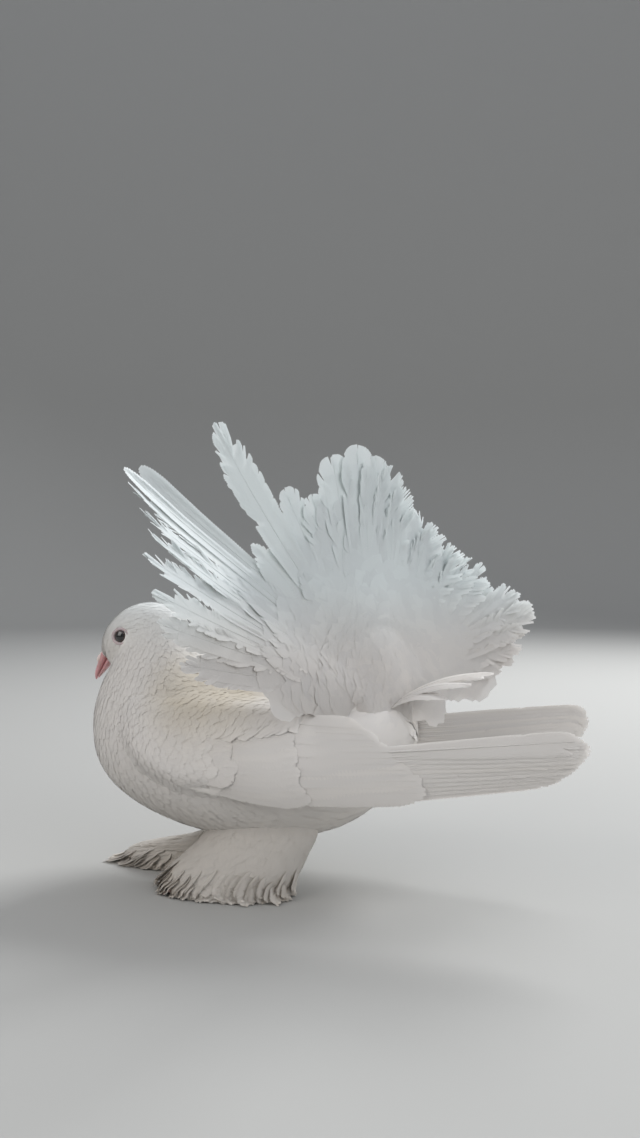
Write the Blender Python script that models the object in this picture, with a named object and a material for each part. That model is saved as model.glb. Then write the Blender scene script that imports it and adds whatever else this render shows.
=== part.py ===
"""A white fantail pigeon, life size, walking with its tail fan raised, as a still museum model.

Metres, +Z up, bill towards -X, the bird's left side towards -Y. The pieces are designed on a
ground plane at z = 0 under the breast and moved at the end, all together, so that the origin
is the middle of the footprint.
"""

import math
import random

import bmesh
import bpy
import numpy as np
from mathutils import Matrix, Vector

MM = 0.001
GAP = 0.3 * MM

# Dorsal x and z, ventral x and z, and half width of the body's sections, in millimetres,
# from the tail root forward over the back, up the neck and round the head to the bill.
BODY_SECTIONS = (
    (80, 103, 92, 80, 11),
    (70, 106, 81, 56, 24),
    (55, 107.5, 59, 37, 37),
    (38, 109, 31, 28, 46),
    (20, 111, 0, 26.5, 51.5),
    (3, 113.5, -27, 30, 54),
    (-12, 116.5, -52, 38, 53),
    (-22, 121, -73, 49.5, 48.5),
    (-29, 127.5, -86, 64, 41),
    (-34, 134, -91, 83, 33),
    (-38, 140.5, -89.5, 99, 26),
    (-42, 146, -85.5, 109.5, 21.5),
    (-47.5, 150, -82.5, 115, 19),
    (-56, 153, -83, 116, 18),
    (-65.5, 152.8, -83.3, 116.7, 17.2),
    (-74.5, 149.4, -83.6, 117.3, 15.6),
    (-82, 143.4, -83.8, 117.8, 13.2),
    (-87.2, 136.3, -84, 118.2, 10.3),
    (-89.9, 129, -84.2, 118.6, 7.4),
    (-90.4, 123.2, -84.4, 119, 4.7),
)
RUMP_END, TORSO_END, NECK_END = 1.5, 9.0, 12.0  # section numbers where the nodes part
SECTION_STEP = 0.5
BODY_SIDES = 26
BODY_SQUARENESS = 2.15

BILL_LENGTH = 15.5 * MM
# Distance along the bill, top and bottom height off its axis, and half width, in millimetres.
UPPER_BILL = ((0.3, 4.3, -0.6, 4.2), (4, 3.4, -0.7, 3.3), (8.5, 2.5, -0.9, 2.5),
              (12.5, 1.3, -1.2, 1.5), (15.3, -0.8, -1.7, 0.5))
LOWER_BILL = ((0.3, -0.95, -4.0, 3.9), (4, -1.05, -3.5, 3.1), (8.5, -1.25, -3.0, 2.2),
              (12, -1.55, -2.4, 1.2), (13.6, -1.75, -2.25, 0.5))
BILL_SIDES = 12
CERE_RADII = Vector((3.0, 1.9, 1.7)) * MM
CERE_ALONG, CERE_ABOVE, CERE_APART = 3.0 * MM, 3.3 * MM, 1.7 * MM
NOSTRIL_RADII = Vector((2.2, 0.8, 0.45)) * MM

EYE_RADIUS = 5.1 * MM
EYE_X, EYE_Y, EYE_Z = -70.5 * MM, 13.2 * MM, 134.2 * MM
LID_RING, LID_THICKNESS = 4.3 * MM, 0.9 * MM

# Along the folded wing's blade: x, lowest z, highest z, in millimetres.
WING_OUTLINE = ((-54, 80, 90), (-42, 65, 101), (-12, 54, 109), (35, 50, 106), (75, 56, 98),
                (104, 62, 92))
WING_STEPS, WING_ROWS = 16, 5
WING_THICK_FRONT, WING_THICK_REAR = 5.4 * MM, 4.2 * MM
SIDE_STEPS = {"left": -1, "right": 1}

VANE_THICKNESS = 0.6 * MM
# Share of the length and share of the full half width along a flight feather and a short one.
VANE_SHAPE = ((0, 0.25), (0.3, 0.52), (0.6, 0.84), (0.8, 1), (0.94, 0.9), (1, 0.5))
SHORT_SHAPE = ((0, 0.4), (0.45, 0.85), (0.82, 1), (1, 0.5))

# Rows of wing feathers, the lowest feather first: how many, root x and z of the first and last,
# tip x and z of the first and last, bow of the line of tips, lift off the blade's middle at the
# root and tip, half width, and louvre in degrees.
PRIMARIES = (7, (52, 52), (62, 81), (170, 78), (180, 92), 4, 0, 0, 5.7, 2)
PRIMARY_PITCH = 1.0 * MM
SECONDARIES = (8, (-8, 54), (6, 95), (108, 66), (60, 97), 2, 0.4, 4, 5.5, 9)
GREATER_COVERTS = (8, (-26, 56), (-16, 98), (48, 58), (30, 101), 2, 0.4, 6, 5.4, 9)
MEDIAN_COVERTS = (7, (-44, 63), (-42, 95), (8, 56), (-6, 102), 3, 0.4, 8, 5.8, 9)

FAN_ROOT = Vector((72, 0, 107)) * MM
# Round the fan: angle up from the left side, forward sweep, length in millimetres, and how far
# the feather's root lies below its tip's angle.
FAN_PROFILE = (
    (6, 28, 118, 0),
    (14, 24, 147, 3),
    (22, 25, 156, 3),
    (34, 28, 166, 4),
    (44, 33, 162, 3),
    (53, 34, 171, 2),
    (63, 23, 168, 9),
    (69, 19, 119, 6),
    (76, 13, 110, 3),
    (80, 9, 112, 2),
    (86, 4, 132, 1),
    (93, 0, 133, 0),
    (110, -6, 110, -3),
    (128, -14, 107, -5),
    (147, -24, 121, -5),
    (160, -32, 138, -4),
    (172, -34, 122, -2),
)
FAN_FEATHERS = 30
FAN_MISSING = 57.5
FAN_LOUVRE = 10
FAN_HALF_WIDTH = 11 * MM
FAN_CORE_REACH = 58 * MM
FAN_CORE_ROOT, FAN_CORE_RIM = 8 * MM, 3.4 * MM
FAN_PAD = Vector((15, 14, 15)) * MM
FAN_COVERTS, FAN_COVERT_LENGTH, FAN_COVERT_LIFT = 8, 84 * MM, 4.2 * MM

# Each leg: foot, heading in degrees with 180 forward, middle of the thigh, size of the muff's
# core, how far its feathers reach on in front, and how high they start.
LEGS = {
    "left": ((-14, -23, 0), 186, (7, -27, 38), (25, 15, 19), 1, 1),
    "right": ((-42, 14, 0), 178, (-6, 24, 38), (27, 14, 10), 1.3, 0.6),
}
THIGH_RADII = Vector((29, 20, 20)) * MM
ANKLE_HEIGHT = 15 * MM
TOE_RADIUS = 2.7 * MM
TOES = ((0, 24), (-34, 19), (34, 20), (186, 12))  # turn off the foot's heading, length
CLAW_LENGTH = 6 * MM
TARSUS_RADIUS = 3.1 * MM
# Turn off the foot's heading, reach and root height of the foot feathers, in millimetres.
MUFF_REACH = ((0, 38, 10), (30, 36, 12), (65, 27, 18), (110, 25, 20), (150, 34, 20), (180, 46, 16),
              (205, 36, 18), (240, 18, 18), (290, 13, 14), (325, 19, 12), (360, 38, 10))
MUFF_FEATHERS = 15

FEATHER = ("feather_white", (0.86, 0.87, 0.88), 0.75)
BILL_PINK = ("bill_pink", (0.78, 0.42, 0.40), 0.45)
EYE_DARK = ("eye_dark", (0.03, 0.02, 0.02), 0.08)
LEG_RED = ("leg_red", (0.62, 0.22, 0.20), 0.55)


def clear_scene():
    for obj in list(bpy.data.objects):
        bpy.data.objects.remove(obj, do_unlink=True)


def make_collection(name):
    collection = bpy.data.collections.new(name)
    bpy.context.scene.collection.children.link(collection)
    return collection


def material(spec):
    name, colour, roughness = spec
    made = bpy.data.materials.get(name) or bpy.data.materials.new(name)
    made.use_nodes = True
    shader = made.node_tree.nodes["Principled BSDF"]
    shader.inputs["Base Color"].default_value = (*colour, 1)
    shader.inputs["Roughness"].default_value = roughness
    shader.inputs["Metallic"].default_value = 0
    return made


def make_object(name, bm, spec, collection):
    """An object from a bmesh, triangulated, with its faces pointing out."""
    bmesh.ops.recalc_face_normals(bm, faces=bm.faces)
    bmesh.ops.triangulate(bm, faces=bm.faces)
    if bm.calc_volume(signed=True) < 0:
        bmesh.ops.reverse_faces(bm, faces=bm.faces)
    mesh = bpy.data.meshes.new(name)
    bm.to_mesh(mesh)
    bm.free()
    mesh.shade_smooth()
    mesh.set_sharp_from_angle(angle=math.radians(40))
    mesh.materials.append(material(spec))
    obj = bpy.data.objects.new(name, mesh)
    collection.objects.link(obj)
    return obj


def spline(rows, at):
    """The row at a fractional place in a list of rows of numbers, on a smooth curve through them."""
    last = len(rows) - 1
    i = min(int(at), last - 1)
    t = at - i
    a, b, c, d = (rows[max(0, min(last, k))] for k in (i - 1, i, i + 1, i + 2))
    return [
        0.5 * (2 * q + (r - p) * t + (2 * p - 5 * q + 4 * r - s) * t**2 + (3 * q - p - 3 * r + s) * t**3)
        for p, q, r, s in zip(a, b, c, d)
    ]


def smooth(t):
    t = max(0.0, min(1.0, t))
    return t * t * (3 - 2 * t)


def ring(centre, up, side, count, squareness=2.0):
    """Points of a rounded outline around centre, with up and side as its half axes."""
    points = []
    for k in range(count):
        angle = 2 * math.pi * k / count
        c, s = math.cos(angle), math.sin(angle)
        power = 2 / squareness
        points.append(
            centre
            + up * math.copysign(abs(c) ** power, c)
            + side * math.copysign(abs(s) ** power, s)
        )
    return points


def loft(rings):
    """A closed bmesh through rings of equal length, with flat ends."""
    bm = bmesh.new()
    rows = [[bm.verts.new(p) for p in points] for points in rings]
    count = len(rows[0])
    for row, following in zip(rows, rows[1:]):
        for k in range(count):
            n = (k + 1) % count
            bm.faces.new((row[k], row[n], following[n], following[k]))
    bm.faces.new(rows[0])
    bm.faces.new(reversed(rows[-1]))
    return bm


def slab(grid, thickness_of):
    """A closed sheet around a grid of points, thickness_of(i, j) thick, split alike on both faces."""
    rows, columns = len(grid), len(grid[0])
    bm = bmesh.new()
    faces = {}
    for sign in (1, -1):
        made = []
        for i in range(rows):
            line = []
            for j in range(columns):
                along = grid[min(i + 1, rows - 1)][j] - grid[max(i - 1, 0)][j]
                across = grid[i][min(j + 1, columns - 1)] - grid[i][max(j - 1, 0)]
                normal = along.cross(across).normalized()
                line.append(bm.verts.new(grid[i][j] + normal * sign * thickness_of(i, j) / 2))
            made.append(line)
        faces[sign] = made
        for i in range(rows - 1):
            for j in range(columns - 1):
                a, b, c, d = made[i][j], made[i + 1][j], made[i + 1][j + 1], made[i][j + 1]
                bm.faces.new((a, b, c))
                bm.faces.new((a, c, d))
    edge = [(i, 0) for i in range(rows)] + [(rows - 1, j) for j in range(1, columns)]
    edge += [(i, columns - 1) for i in range(rows - 2, -1, -1)]
    edge += [(0, j) for j in range(columns - 2, 0, -1)]
    for (i, j), (k, m) in zip(edge, edge[1:] + edge[:1]):
        bm.faces.new((faces[1][i][j], faces[1][k][m], faces[-1][k][m], faces[-1][i][j]))
    return bm


def limb(path, radii, sides=12):
    """A closed tube through path with its own radius at each point."""
    rings = []
    side = Vector((0, 1, 0))
    for i, point in enumerate(path):
        heading = (path[min(i + 1, len(path) - 1)] - path[max(i - 1, 0)]).normalized()
        across = (side - heading * side.dot(heading)).normalized()
        rings.append(ring(point, heading.cross(across) * radii[i], across * radii[i], sides))
    return loft(rings)


def vane(path, across, half_width, louvre=0.0, shape=VANE_SHAPE):
    """A thin closed feather blade along path(share), its flat turned by louvre degrees.

    across(share) is the way its width runs. Both faces are split into triangles alike.
    """
    bm = bmesh.new()
    rows = []
    for share, width in shape:
        point = path(share)
        step = 0.02
        heading = (path(min(share + step, 1)) - path(max(share - step, 0))).normalized()
        side = across(share)
        side = (side - heading * side.dot(heading)).normalized()
        side.rotate(Matrix.Rotation(math.radians(louvre), 3, heading))
        normal = heading.cross(side)
        wide = side * half_width * width
        thick = normal * VANE_THICKNESS / 2
        corners = (-wide + thick, wide + thick, wide - thick, -wide - thick)
        rows.append([bm.verts.new(point + corner) for corner in corners])
    for row, following in zip(rows, rows[1:]):
        a, b, c, d = row
        e, f, g, h = following
        for face in ((a, b, f), (a, f, e), (d, g, c), (d, h, g), (b, c, g), (b, g, f), (d, a, e), (d, e, h)):
            bm.faces.new(face)
    for a, b, c, d in (rows[0], rows[-1][::-1]):
        bm.faces.new((a, d, c))
        bm.faces.new((a, c, b))
    return bm


def between(first, last, share):
    """The place between two (x, z) pairs in millimetres, as a pair in metres."""
    return tuple((p + (q - p) * share) * MM for p, q in zip(first, last))


def ellipsoid(centre, radii, turn=Matrix(), rings=10, sides=16):
    bm = bmesh.new()
    bmesh.ops.create_uvsphere(bm, u_segments=sides, v_segments=rings, radius=1)
    scale = Matrix.Diagonal((*radii, 1))
    bm.transform(Matrix.Translation(centre) @ turn @ scale)
    return bm


def apply_boolean(obj, operation, collection):
    """Applies one Boolean with a collection of closed meshes, which are then removed."""
    modifier = obj.modifiers.new(operation.lower(), "BOOLEAN")
    modifier.operation = operation
    modifier.operand_type = "COLLECTION"
    modifier.collection = collection
    modifier.solver = "MANIFOLD"
    graph = bpy.context.evaluated_depsgraph_get()
    mesh = bpy.data.meshes.new_from_object(obj.evaluated_get(graph))
    obj.modifiers.clear()
    obj.data = mesh
    for helper in list(collection.objects):
        bpy.data.objects.remove(helper, do_unlink=True)
    bpy.data.collections.remove(collection)


def largest_body(obj):
    """Drops all but the largest closed surface of a mesh."""
    bm = bmesh.new()
    bm.from_mesh(obj.data)
    bm.verts.ensure_lookup_table()
    unseen = set(bm.verts)
    groups = []
    while unseen:
        stack = [unseen.pop()]
        group = list(stack)
        while stack:
            for edge in stack.pop().link_edges:
                for vert in edge.verts:
                    if vert in unseen:
                        unseen.remove(vert)
                        stack.append(vert)
                        group.append(vert)
        groups.append(group)

    def extent(group):
        faces = {face for vert in group for face in vert.link_faces}
        return sum(face.calc_area() for face in faces)

    groups.sort(key=extent)
    for group in groups[:-1]:
        bmesh.ops.delete(bm, geom=group, context="VERTS")
    bm.to_mesh(obj.data)
    bm.free()


def join_pieces(obj, pieces):
    """Fuses closed bmeshes into obj with one union."""
    helpers = make_collection("joining")
    for k, bm in enumerate(pieces):
        make_object(f"joining_{k}", bm, FEATHER, helpers)
    apply_boolean(obj, "UNION", helpers)
    largest_body(obj)


def cut_with(obj, cutters):
    """Cuts closed bmeshes away from obj with one difference."""
    helpers = make_collection("cutting")
    for k, bm in enumerate(cutters):
        make_object(f"cutting_{k}", bm, FEATHER, helpers)
    apply_boolean(obj, "DIFFERENCE", helpers)
    largest_body(obj)


def grown(other, clearance=GAP):
    """A smooth object's surface as a bmesh, moved out by the clearance."""
    bm = bmesh.new()
    bm.from_mesh(other.data)
    bm.normal_update()
    moves = [vert.normal * clearance * vert.calc_shell_factor() for vert in bm.verts]
    for vert, move in zip(bm.verts, moves):
        vert.co += move
    return bm


def cut_away(obj, *others):
    """Cuts obj clear of smooth objects by the gap."""
    cut_with(obj, [grown(other) for other in others])


def level_at_floor(obj):
    """Cuts obj off at the floor, which leaves small flats at one level."""
    bm = bmesh.new()
    bmesh.ops.create_cube(bm, size=1)
    bm.transform(Matrix.Translation((0, 0, -0.05)) @ Matrix.Diagonal((0.5, 0.5, 0.1, 1)))
    cut_with(obj, [bm])


def body_section(at):
    """Centre, up half axis and side half axis of the body's section at a fractional row number."""
    dorsal_x, dorsal_z, ventral_x, ventral_z, half_width = spline(BODY_SECTIONS, at)
    dorsal = Vector((dorsal_x, 0, dorsal_z)) * MM
    ventral = Vector((ventral_x, 0, ventral_z)) * MM
    return (dorsal + ventral) / 2, (dorsal - ventral) / 2, Vector((0, half_width * MM, 0))


def body_node(name, start, end):
    """One length of the body, its end faces set in by half a gap where another length meets it."""
    rings = []
    steps = round((end - start) / SECTION_STEP)
    last = len(BODY_SECTIONS) - 1
    for k in range(steps + 1):
        at = start + (end - start) * k / steps
        centre, up, side = body_section(at)
        forward = up.cross(side).normalized()
        if k == 0 and start > 0:
            centre = centre + forward * GAP / 2
        if k == steps and end < last:
            centre = centre - forward * GAP / 2
        rings.append(ring(centre, up, side, BODY_SIDES, BODY_SQUARENESS))
    return make_object(name, loft(rings), FEATHER, PARTS)


def bill_frame():
    """Origin, outward axis and up direction of the bill, from the front face of the head."""
    centre, up, side = body_section(len(BODY_SECTIONS) - 1)
    return centre, up.cross(side).normalized(), up.normalized()


def bill_node(name, rows):
    origin, axis, up = bill_frame()
    rings = []
    for k in range(2 * len(rows) - 1):
        along, top, bottom, half_width = (value * MM for value in spline(rows, k / 2))
        centre = origin + axis * along + up * (top + bottom) / 2
        rings.append(ring(centre, up * (top - bottom) / 2, Vector((0, half_width, 0)), BILL_SIDES, 2.4))
    return make_object(name, loft(rings), BILL_PINK, PARTS)


def frame_matrix(axis, up):
    """A rotation that takes X to axis and Z to up."""
    across = up.cross(axis)
    return Matrix((axis, across, up)).transposed().to_4x4()


def make_bill(head):
    origin, axis, up = bill_frame()
    upper = bill_node("bill_upper", UPPER_BILL)
    bill_node("bill_lower", LOWER_BILL)
    turn = frame_matrix(axis, up)
    bulbs, nostrils = [], []
    for sign in (-1, 1):
        place = origin + axis * CERE_ALONG + up * CERE_ABOVE + Vector((0, sign * CERE_APART, 0))
        bulbs.append(ellipsoid(place, CERE_RADII, turn, 6, 10))
        slit = place + axis * 1.6 * MM - up * 1.4 * MM + Vector((0, sign * 1.6 * MM, 0))
        nostrils.append(ellipsoid(slit, NOSTRIL_RADII, turn, 6, 8))
    join_pieces(upper, bulbs)
    cut_with(upper, nostrils + [grown(head)])
    return upper


def make_eyes(head):
    """The eyeballs in their sockets, each with a ring of lid raised on the head."""
    lids, sockets = [], []
    for name, sign in SIDE_STEPS.items():
        centre = Vector((EYE_X, sign * EYE_Y, EYE_Z))
        outward = Vector((-0.25, sign, 0.05)).normalized()
        turn = outward.to_track_quat("Z", "Y").to_matrix().to_4x4()
        bm = bmesh.new()
        at = centre + outward * 3.3 * MM
        across, other = turn.col[0].to_3d(), turn.col[1].to_3d()
        circle = []
        for k in range(18):
            angle = 2 * math.pi * k / 18
            spoke = across * math.cos(angle) + other * math.sin(angle)
            circle.append(ring(at + spoke * LID_RING, spoke * LID_THICKNESS, outward * LID_THICKNESS, 6))
        rows = [[bm.verts.new(p) for p in points] for points in circle]
        for row, following in zip(rows, rows[1:] + rows[:1]):
            for k in range(6):
                n = (k + 1) % 6
                bm.faces.new((row[k], row[n], following[n], following[k]))
        lids.append(bm)
        sockets.append(ellipsoid(centre, Vector((1, 1, 1)) * (EYE_RADIUS + GAP), turn, 8, 14))
        ball = ellipsoid(centre, Vector((1, 1, 1)) * EYE_RADIUS, turn, 8, 14)
        make_object("eye_" + name, ball, EYE_DARK, PARTS)
    join_pieces(head, lids)
    cut_with(head, sockets)


def side_surface(x, z):
    """The distance off the middle plane of the surface that a folded wing lies on."""
    behind = smooth((x / MM - 40) / 80)
    half_width = (58 - 16 * smooth((x / MM - 10) / 170)) * MM
    middle = (70 + 12 * behind) * MM
    half_height = (49 + 50 * behind) * MM
    share = min(0.92, abs(z - middle) / half_height)
    return half_width * math.sqrt(1 - share**2)


def wing_row(row, sign, jitter, shape, pitch=0.0):
    """The closed blades of one row of wing feathers."""
    count, root_a, root_b, tip_a, tip_b, bow, lift_root, lift_tip, half_width, louvre = row
    blades = []
    for k in range(count):
        share = k / (count - 1)
        root_x, root_z = between(root_a, root_b, share)
        tip_x, tip_z = between(tip_a, tip_b, share)
        tip_x += (bow * 4 * share * (1 - share) + jitter.uniform(-1, 1)) * MM
        layer = pitch * (k - (count - 1) / 2)

        def path(along):
            x = root_x + (tip_x - root_x) * along
            z = root_z + (tip_z - root_z) * along
            rise = smooth(along * 2)
            lift = (lift_root + (lift_tip - lift_root) * rise) * MM + layer * rise
            return Vector((x, sign * (side_surface(x, z) + lift), z))

        def across(along):
            point = path(along)
            step = 1.5 * MM
            above = side_surface(point.x, point.z + step) - side_surface(point.x, point.z - step)
            return Vector((0, sign * above, 2 * step))

        blades.append(vane(path, across, half_width * MM, louvre * sign, shape))
    return blades


def make_wing(name, sign, obstacles):
    """The folded wing: a blade under the coverts, with the feathers in rows on it and behind it."""
    grid = []
    for i in range(WING_STEPS + 1):
        at = i / WING_STEPS * (len(WING_OUTLINE) - 1)
        x, low, high = (value * MM for value in spline(WING_OUTLINE, at))
        row = []
        for j in range(WING_ROWS + 1):
            z = low + (high - low) * j / WING_ROWS
            row.append(Vector((x, sign * side_surface(x, z), z)))
        grid.append(row)

    def thickness(i, j):
        edge = 1 if 0 < j < WING_ROWS and 0 < i < WING_STEPS else 0.3
        return edge * (WING_THICK_FRONT + (WING_THICK_REAR - WING_THICK_FRONT) * i / WING_STEPS)

    wing = make_object("wing_" + name, slab(grid, thickness), FEATHER, PARTS)
    jitter = random.Random(7 + sign)
    blades = wing_row(PRIMARIES, sign, jitter, VANE_SHAPE, PRIMARY_PITCH)
    for row in (SECONDARIES, GREATER_COVERTS, MEDIAN_COVERTS):
        blades += wing_row(row, sign, jitter, SHORT_SHAPE)
    join_pieces(wing, blades)
    cut_away(wing, *obstacles)
    return wing


def fan_place(angle, share, length, sweep_more=0.0):
    """A point on the fan's sheet at an angle in degrees and a share of a length from the root."""
    angles, sweeps, _, roots = zip(*FAN_PROFILE)
    turn = angle - float(np.interp(angle, angles, roots)) * (1 - share)
    sweep = math.radians(float(np.interp(angle, angles, sweeps)) + sweep_more)
    upright = math.radians(turn)
    direction = Vector((-math.tan(sweep), -math.cos(upright), math.sin(upright))).normalized()
    return FAN_ROOT + direction * length * share


def fan_length(angle):
    angles, _, lengths, _ = zip(*FAN_PROFILE)
    return float(np.interp(angle, angles, lengths)) * MM


def fan_across(angle, share, length):
    side = fan_place(angle + 5, share, length) - fan_place(angle - 5, share, length)
    level = math.hypot(side.y, side.z)
    return Vector((max(-0.9 * level, min(0.9 * level, side.x)), side.y, side.z))


def fan_louvre(angle):
    return FAN_LOUVRE * max(-1, min(1, (90 - angle) / 8))


def fan_vane(angle, start, length, half_width, shape, lift=0.0):
    """One tail feather, its lift off the fan's sheet growing out from the root."""

    def path(along):
        share = start + (1 - start) * along
        point = fan_place(angle, share, length)
        if lift:
            outward = point - FAN_ROOT
            normal = outward.cross(fan_across(angle, share, length)).normalized()
            point = point + normal * lift * smooth(along * 1.8)
        return point

    def across(along):
        return fan_across(angle, start + (1 - start) * along, length)

    return vane(path, across, half_width, fan_louvre(angle), shape)


def make_fan(obstacles):
    """The raised tail: overlapping feathers on a dished pad, with shorter ones before and behind."""
    first, last = FAN_PROFILE[0][0], FAN_PROFILE[-1][0]
    grid = []
    steps = 26
    for i in range(steps + 1):
        angle = first - 4 + (last - first + 8) * i / steps
        grid.append([fan_place(angle, share, FAN_CORE_REACH) for share in (0.2, 0.4, 0.6, 0.8, 1)])

    def thickness(_, j):
        return FAN_CORE_ROOT + (FAN_CORE_RIM - FAN_CORE_ROOT) * j / 4

    fan = make_object("tail_fan", slab(grid, thickness), FEATHER, PARTS)
    jitter = random.Random(11)
    pieces = [ellipsoid(FAN_ROOT, FAN_PAD, rings=8, sides=12)]
    for k in range(FAN_FEATHERS):
        angle = first + (last - first) * k / (FAN_FEATHERS - 1) + jitter.uniform(-0.5, 0.5)
        length = fan_length(angle) * jitter.uniform(0.97, 1.03)
        if abs(angle - FAN_MISSING) > 3:
            pieces.append(fan_vane(angle, 0.2, length, FAN_HALF_WIDTH, VANE_SHAPE))
    for lift in (FAN_COVERT_LIFT, -FAN_COVERT_LIFT):
        for k in range(FAN_COVERTS):
            angle = first + 4 + (last - first - 8) * k / (FAN_COVERTS - 1)
            length = FAN_COVERT_LENGTH * jitter.uniform(0.9, 1.05)
            pieces.append(fan_vane(angle, 0.2, length, FAN_HALF_WIDTH * 0.85, SHORT_SHAPE, lift))
    join_pieces(fan, pieces)
    cut_away(fan, *obstacles)
    return fan


def foot_pieces(foot, heading):
    """The shank, toes and claws as closed bmeshes."""
    ankle = foot + Vector((0, 0, ANKLE_HEIGHT))
    base = foot + Vector((0, 0, 2 * MM))
    shank = [TARSUS_RADIUS * s for s in (1.3, 1, 1.15)]
    pieces = [limb([base, base.lerp(ankle, 0.5), ankle], shank, 12)]
    for turn, length in TOES:
        direction = level_direction(heading + turn)
        start = foot + Vector((0, 0, 2.3 * MM))
        path = [start + direction * length * MM * share for share in (0, 0.3, 0.36, 0.66, 0.72, 1)]
        radii = [TOE_RADIUS * s for s in (1, 0.9, 1.05, 0.85, 0.95, 0.75)]
        pieces.append(limb(path, radii, 8))
        tip = path[-1]
        claw = [
            tip - direction * 1.5 * MM,
            tip + direction * CLAW_LENGTH * 0.45 + Vector((0, 0, 0.3 * MM)),
            tip + direction * CLAW_LENGTH + Vector((0, 0, -1.3 * MM)),
        ]
        pieces.append(limb(claw, [1.5 * MM, 1.1 * MM, 0.35 * MM], 6))
    return pieces


def level_direction(degrees):
    """A level direction, 180 degrees being forward and 270 to the left."""
    angle = math.radians(degrees)
    return Vector((math.cos(angle), math.sin(angle), 0))


def foot_room(foot, heading):
    """The plain closed shapes that leave room for the shank, toes and claws."""
    room = TOE_RADIUS + 2 * GAP
    top = foot + Vector((0, 0, ANKLE_HEIGHT + 1 * MM))
    pieces = [limb([foot, top], [4.8 * MM, 4.4 * MM], 10)]
    for turn, length in TOES:
        direction = level_direction(heading + turn)
        start = foot + Vector((0, 0, 2.3 * MM))
        path = [start, start + direction * (length * MM + CLAW_LENGTH + 1 * MM)]
        pieces.append(limb(path, [room * 1.06, room], 8))
    return pieces


def leg_pieces(foot, thigh, more=0.0):
    """The feathered thigh and the way down to the shank, thicker all round by the given amount."""
    end = foot + Vector((0, 0, ANKLE_HEIGHT + GAP + 0.2 * MM))
    rings = []
    for share, radius in ((0, 18), (0.35, 15), (0.7, 9.5), (1, 6.5), (1, 6.5)):
        size = radius * MM + more
        rings.append(ring(thigh.lerp(end, share), Vector((size, 0, 0)), Vector((0, size, 0)), 14))
    for point in rings[-1]:
        point.z -= more + 0.2 * MM
    return [loft(rings), ellipsoid(thigh, THIGH_RADII + Vector((1, 1, 1)) * more, rings=10, sides=16)]


def muff_vane(foot, heading, turn, reach, height):
    """One foot feather, out from the shank and down to the floor."""
    direction = level_direction(heading + turn)
    side = Vector((-direction.y, direction.x, 0))

    def path(along):
        drop = (height - 1.2) * (1 - along**1.4) + 1.2
        return foot + direction * (4 + (reach - 4) * along) * MM + Vector((0, 0, drop * MM))

    return vane(path, lambda _: side, 5.8 * MM, 12, SHORT_SHAPE)


def make_muff(name, foot, heading, core, stretch, rise, room):
    """The feathers round one foot, fused to a core about the shank and cut level at the floor."""
    sign = SIDE_STEPS[name]
    place = foot + Vector((4 * MM, sign * 2 * MM, core.z * 0.3))
    muff = make_object("muff_" + name, ellipsoid(place, core, rings=8, sides=14), FEATHER, PARTS)
    turns, reaches, heights = zip(*MUFF_REACH)
    jitter = random.Random(23 + sign)
    blades = []
    for k in range(MUFF_FEATHERS):
        turn = 360 * k / MUFF_FEATHERS + jitter.uniform(-3, 3)
        outward = (turn if sign < 0 else 360 - turn) % 360
        reach = float(np.interp(outward, turns, reaches)) * jitter.uniform(0.93, 1.07)
        reach *= 1 + (stretch - 1) * max(0, math.cos(math.radians(turn)))
        height = float(np.interp(outward, turns, heights)) * rise
        blades.append(muff_vane(foot, heading, turn, reach, height))
    join_pieces(muff, blades)
    cut_with(muff, room)
    level_at_floor(muff)


def make_leg(name, torso):
    """The feathered thigh, the bare shank with its toes, and the muff of foot feathers."""
    foot, heading, thigh, core, stretch, rise = LEGS[name]
    foot, thigh, core = Vector(foot) * MM, Vector(thigh) * MM, Vector(core) * MM
    upper, *others = leg_pieces(foot, thigh)
    leg = make_object("leg_" + name, upper, FEATHER, PARTS)
    join_pieces(leg, others)
    cut_away(leg, torso)
    shank, *others = foot_pieces(foot, heading)
    foot_node = make_object("foot_" + name, shank, LEG_RED, PARTS)
    join_pieces(foot_node, others)
    level_at_floor(foot_node)
    room = foot_room(foot, heading) + leg_pieces(foot, thigh, 2 * GAP) + [grown(torso)]
    make_muff(name, foot, heading, core, stretch, rise, room)


def settle_origin():
    """Moves every piece so that the origin is the middle of the footprint, at floor level."""
    corners = [v.co for obj in PARTS.objects for v in obj.data.vertices]
    low = Vector(min(c[k] for c in corners) for k in range(3))
    high = Vector(max(c[k] for c in corners) for k in range(3))
    shift = Vector((-(low.x + high.x) / 2, -(low.y + high.y) / 2, -low.z))
    for obj in PARTS.objects:
        obj.data.transform(Matrix.Translation(shift))


def main():
    rump = body_node("rump", 0, RUMP_END)
    torso = body_node("torso", RUMP_END, TORSO_END)
    neck = body_node("neck", TORSO_END, NECK_END)
    head = body_node("head", NECK_END, len(BODY_SECTIONS) - 1)
    make_eyes(head)
    make_bill(head)
    make_fan((rump, torso))
    for name, sign in SIDE_STEPS.items():
        make_wing(name, sign, (torso, rump, neck))
        make_leg(name, torso)
    settle_origin()


clear_scene()
PARTS = make_collection("fantail_pigeon")
main()
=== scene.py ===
"""The looks of a life-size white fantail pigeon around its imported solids.

One skin takes the place of the flesh, and feathers lie on it as thin mesh: small ones all over,
long barbed ones in the wings, the raised tail fan and round the feet. Bill, eyes and toes are
pieces of their own. Sizes are in millimetres on the plane that the solids are designed on, and
places become metres in the model's frame at the end.
"""

import logging
import math
from collections.abc import Callable
from dataclasses import dataclass, field
from enum import Enum

import bmesh
import bpy
import numpy as np
from mathutils import Matrix, Vector
from mathutils.kdtree import KDTree


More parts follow.
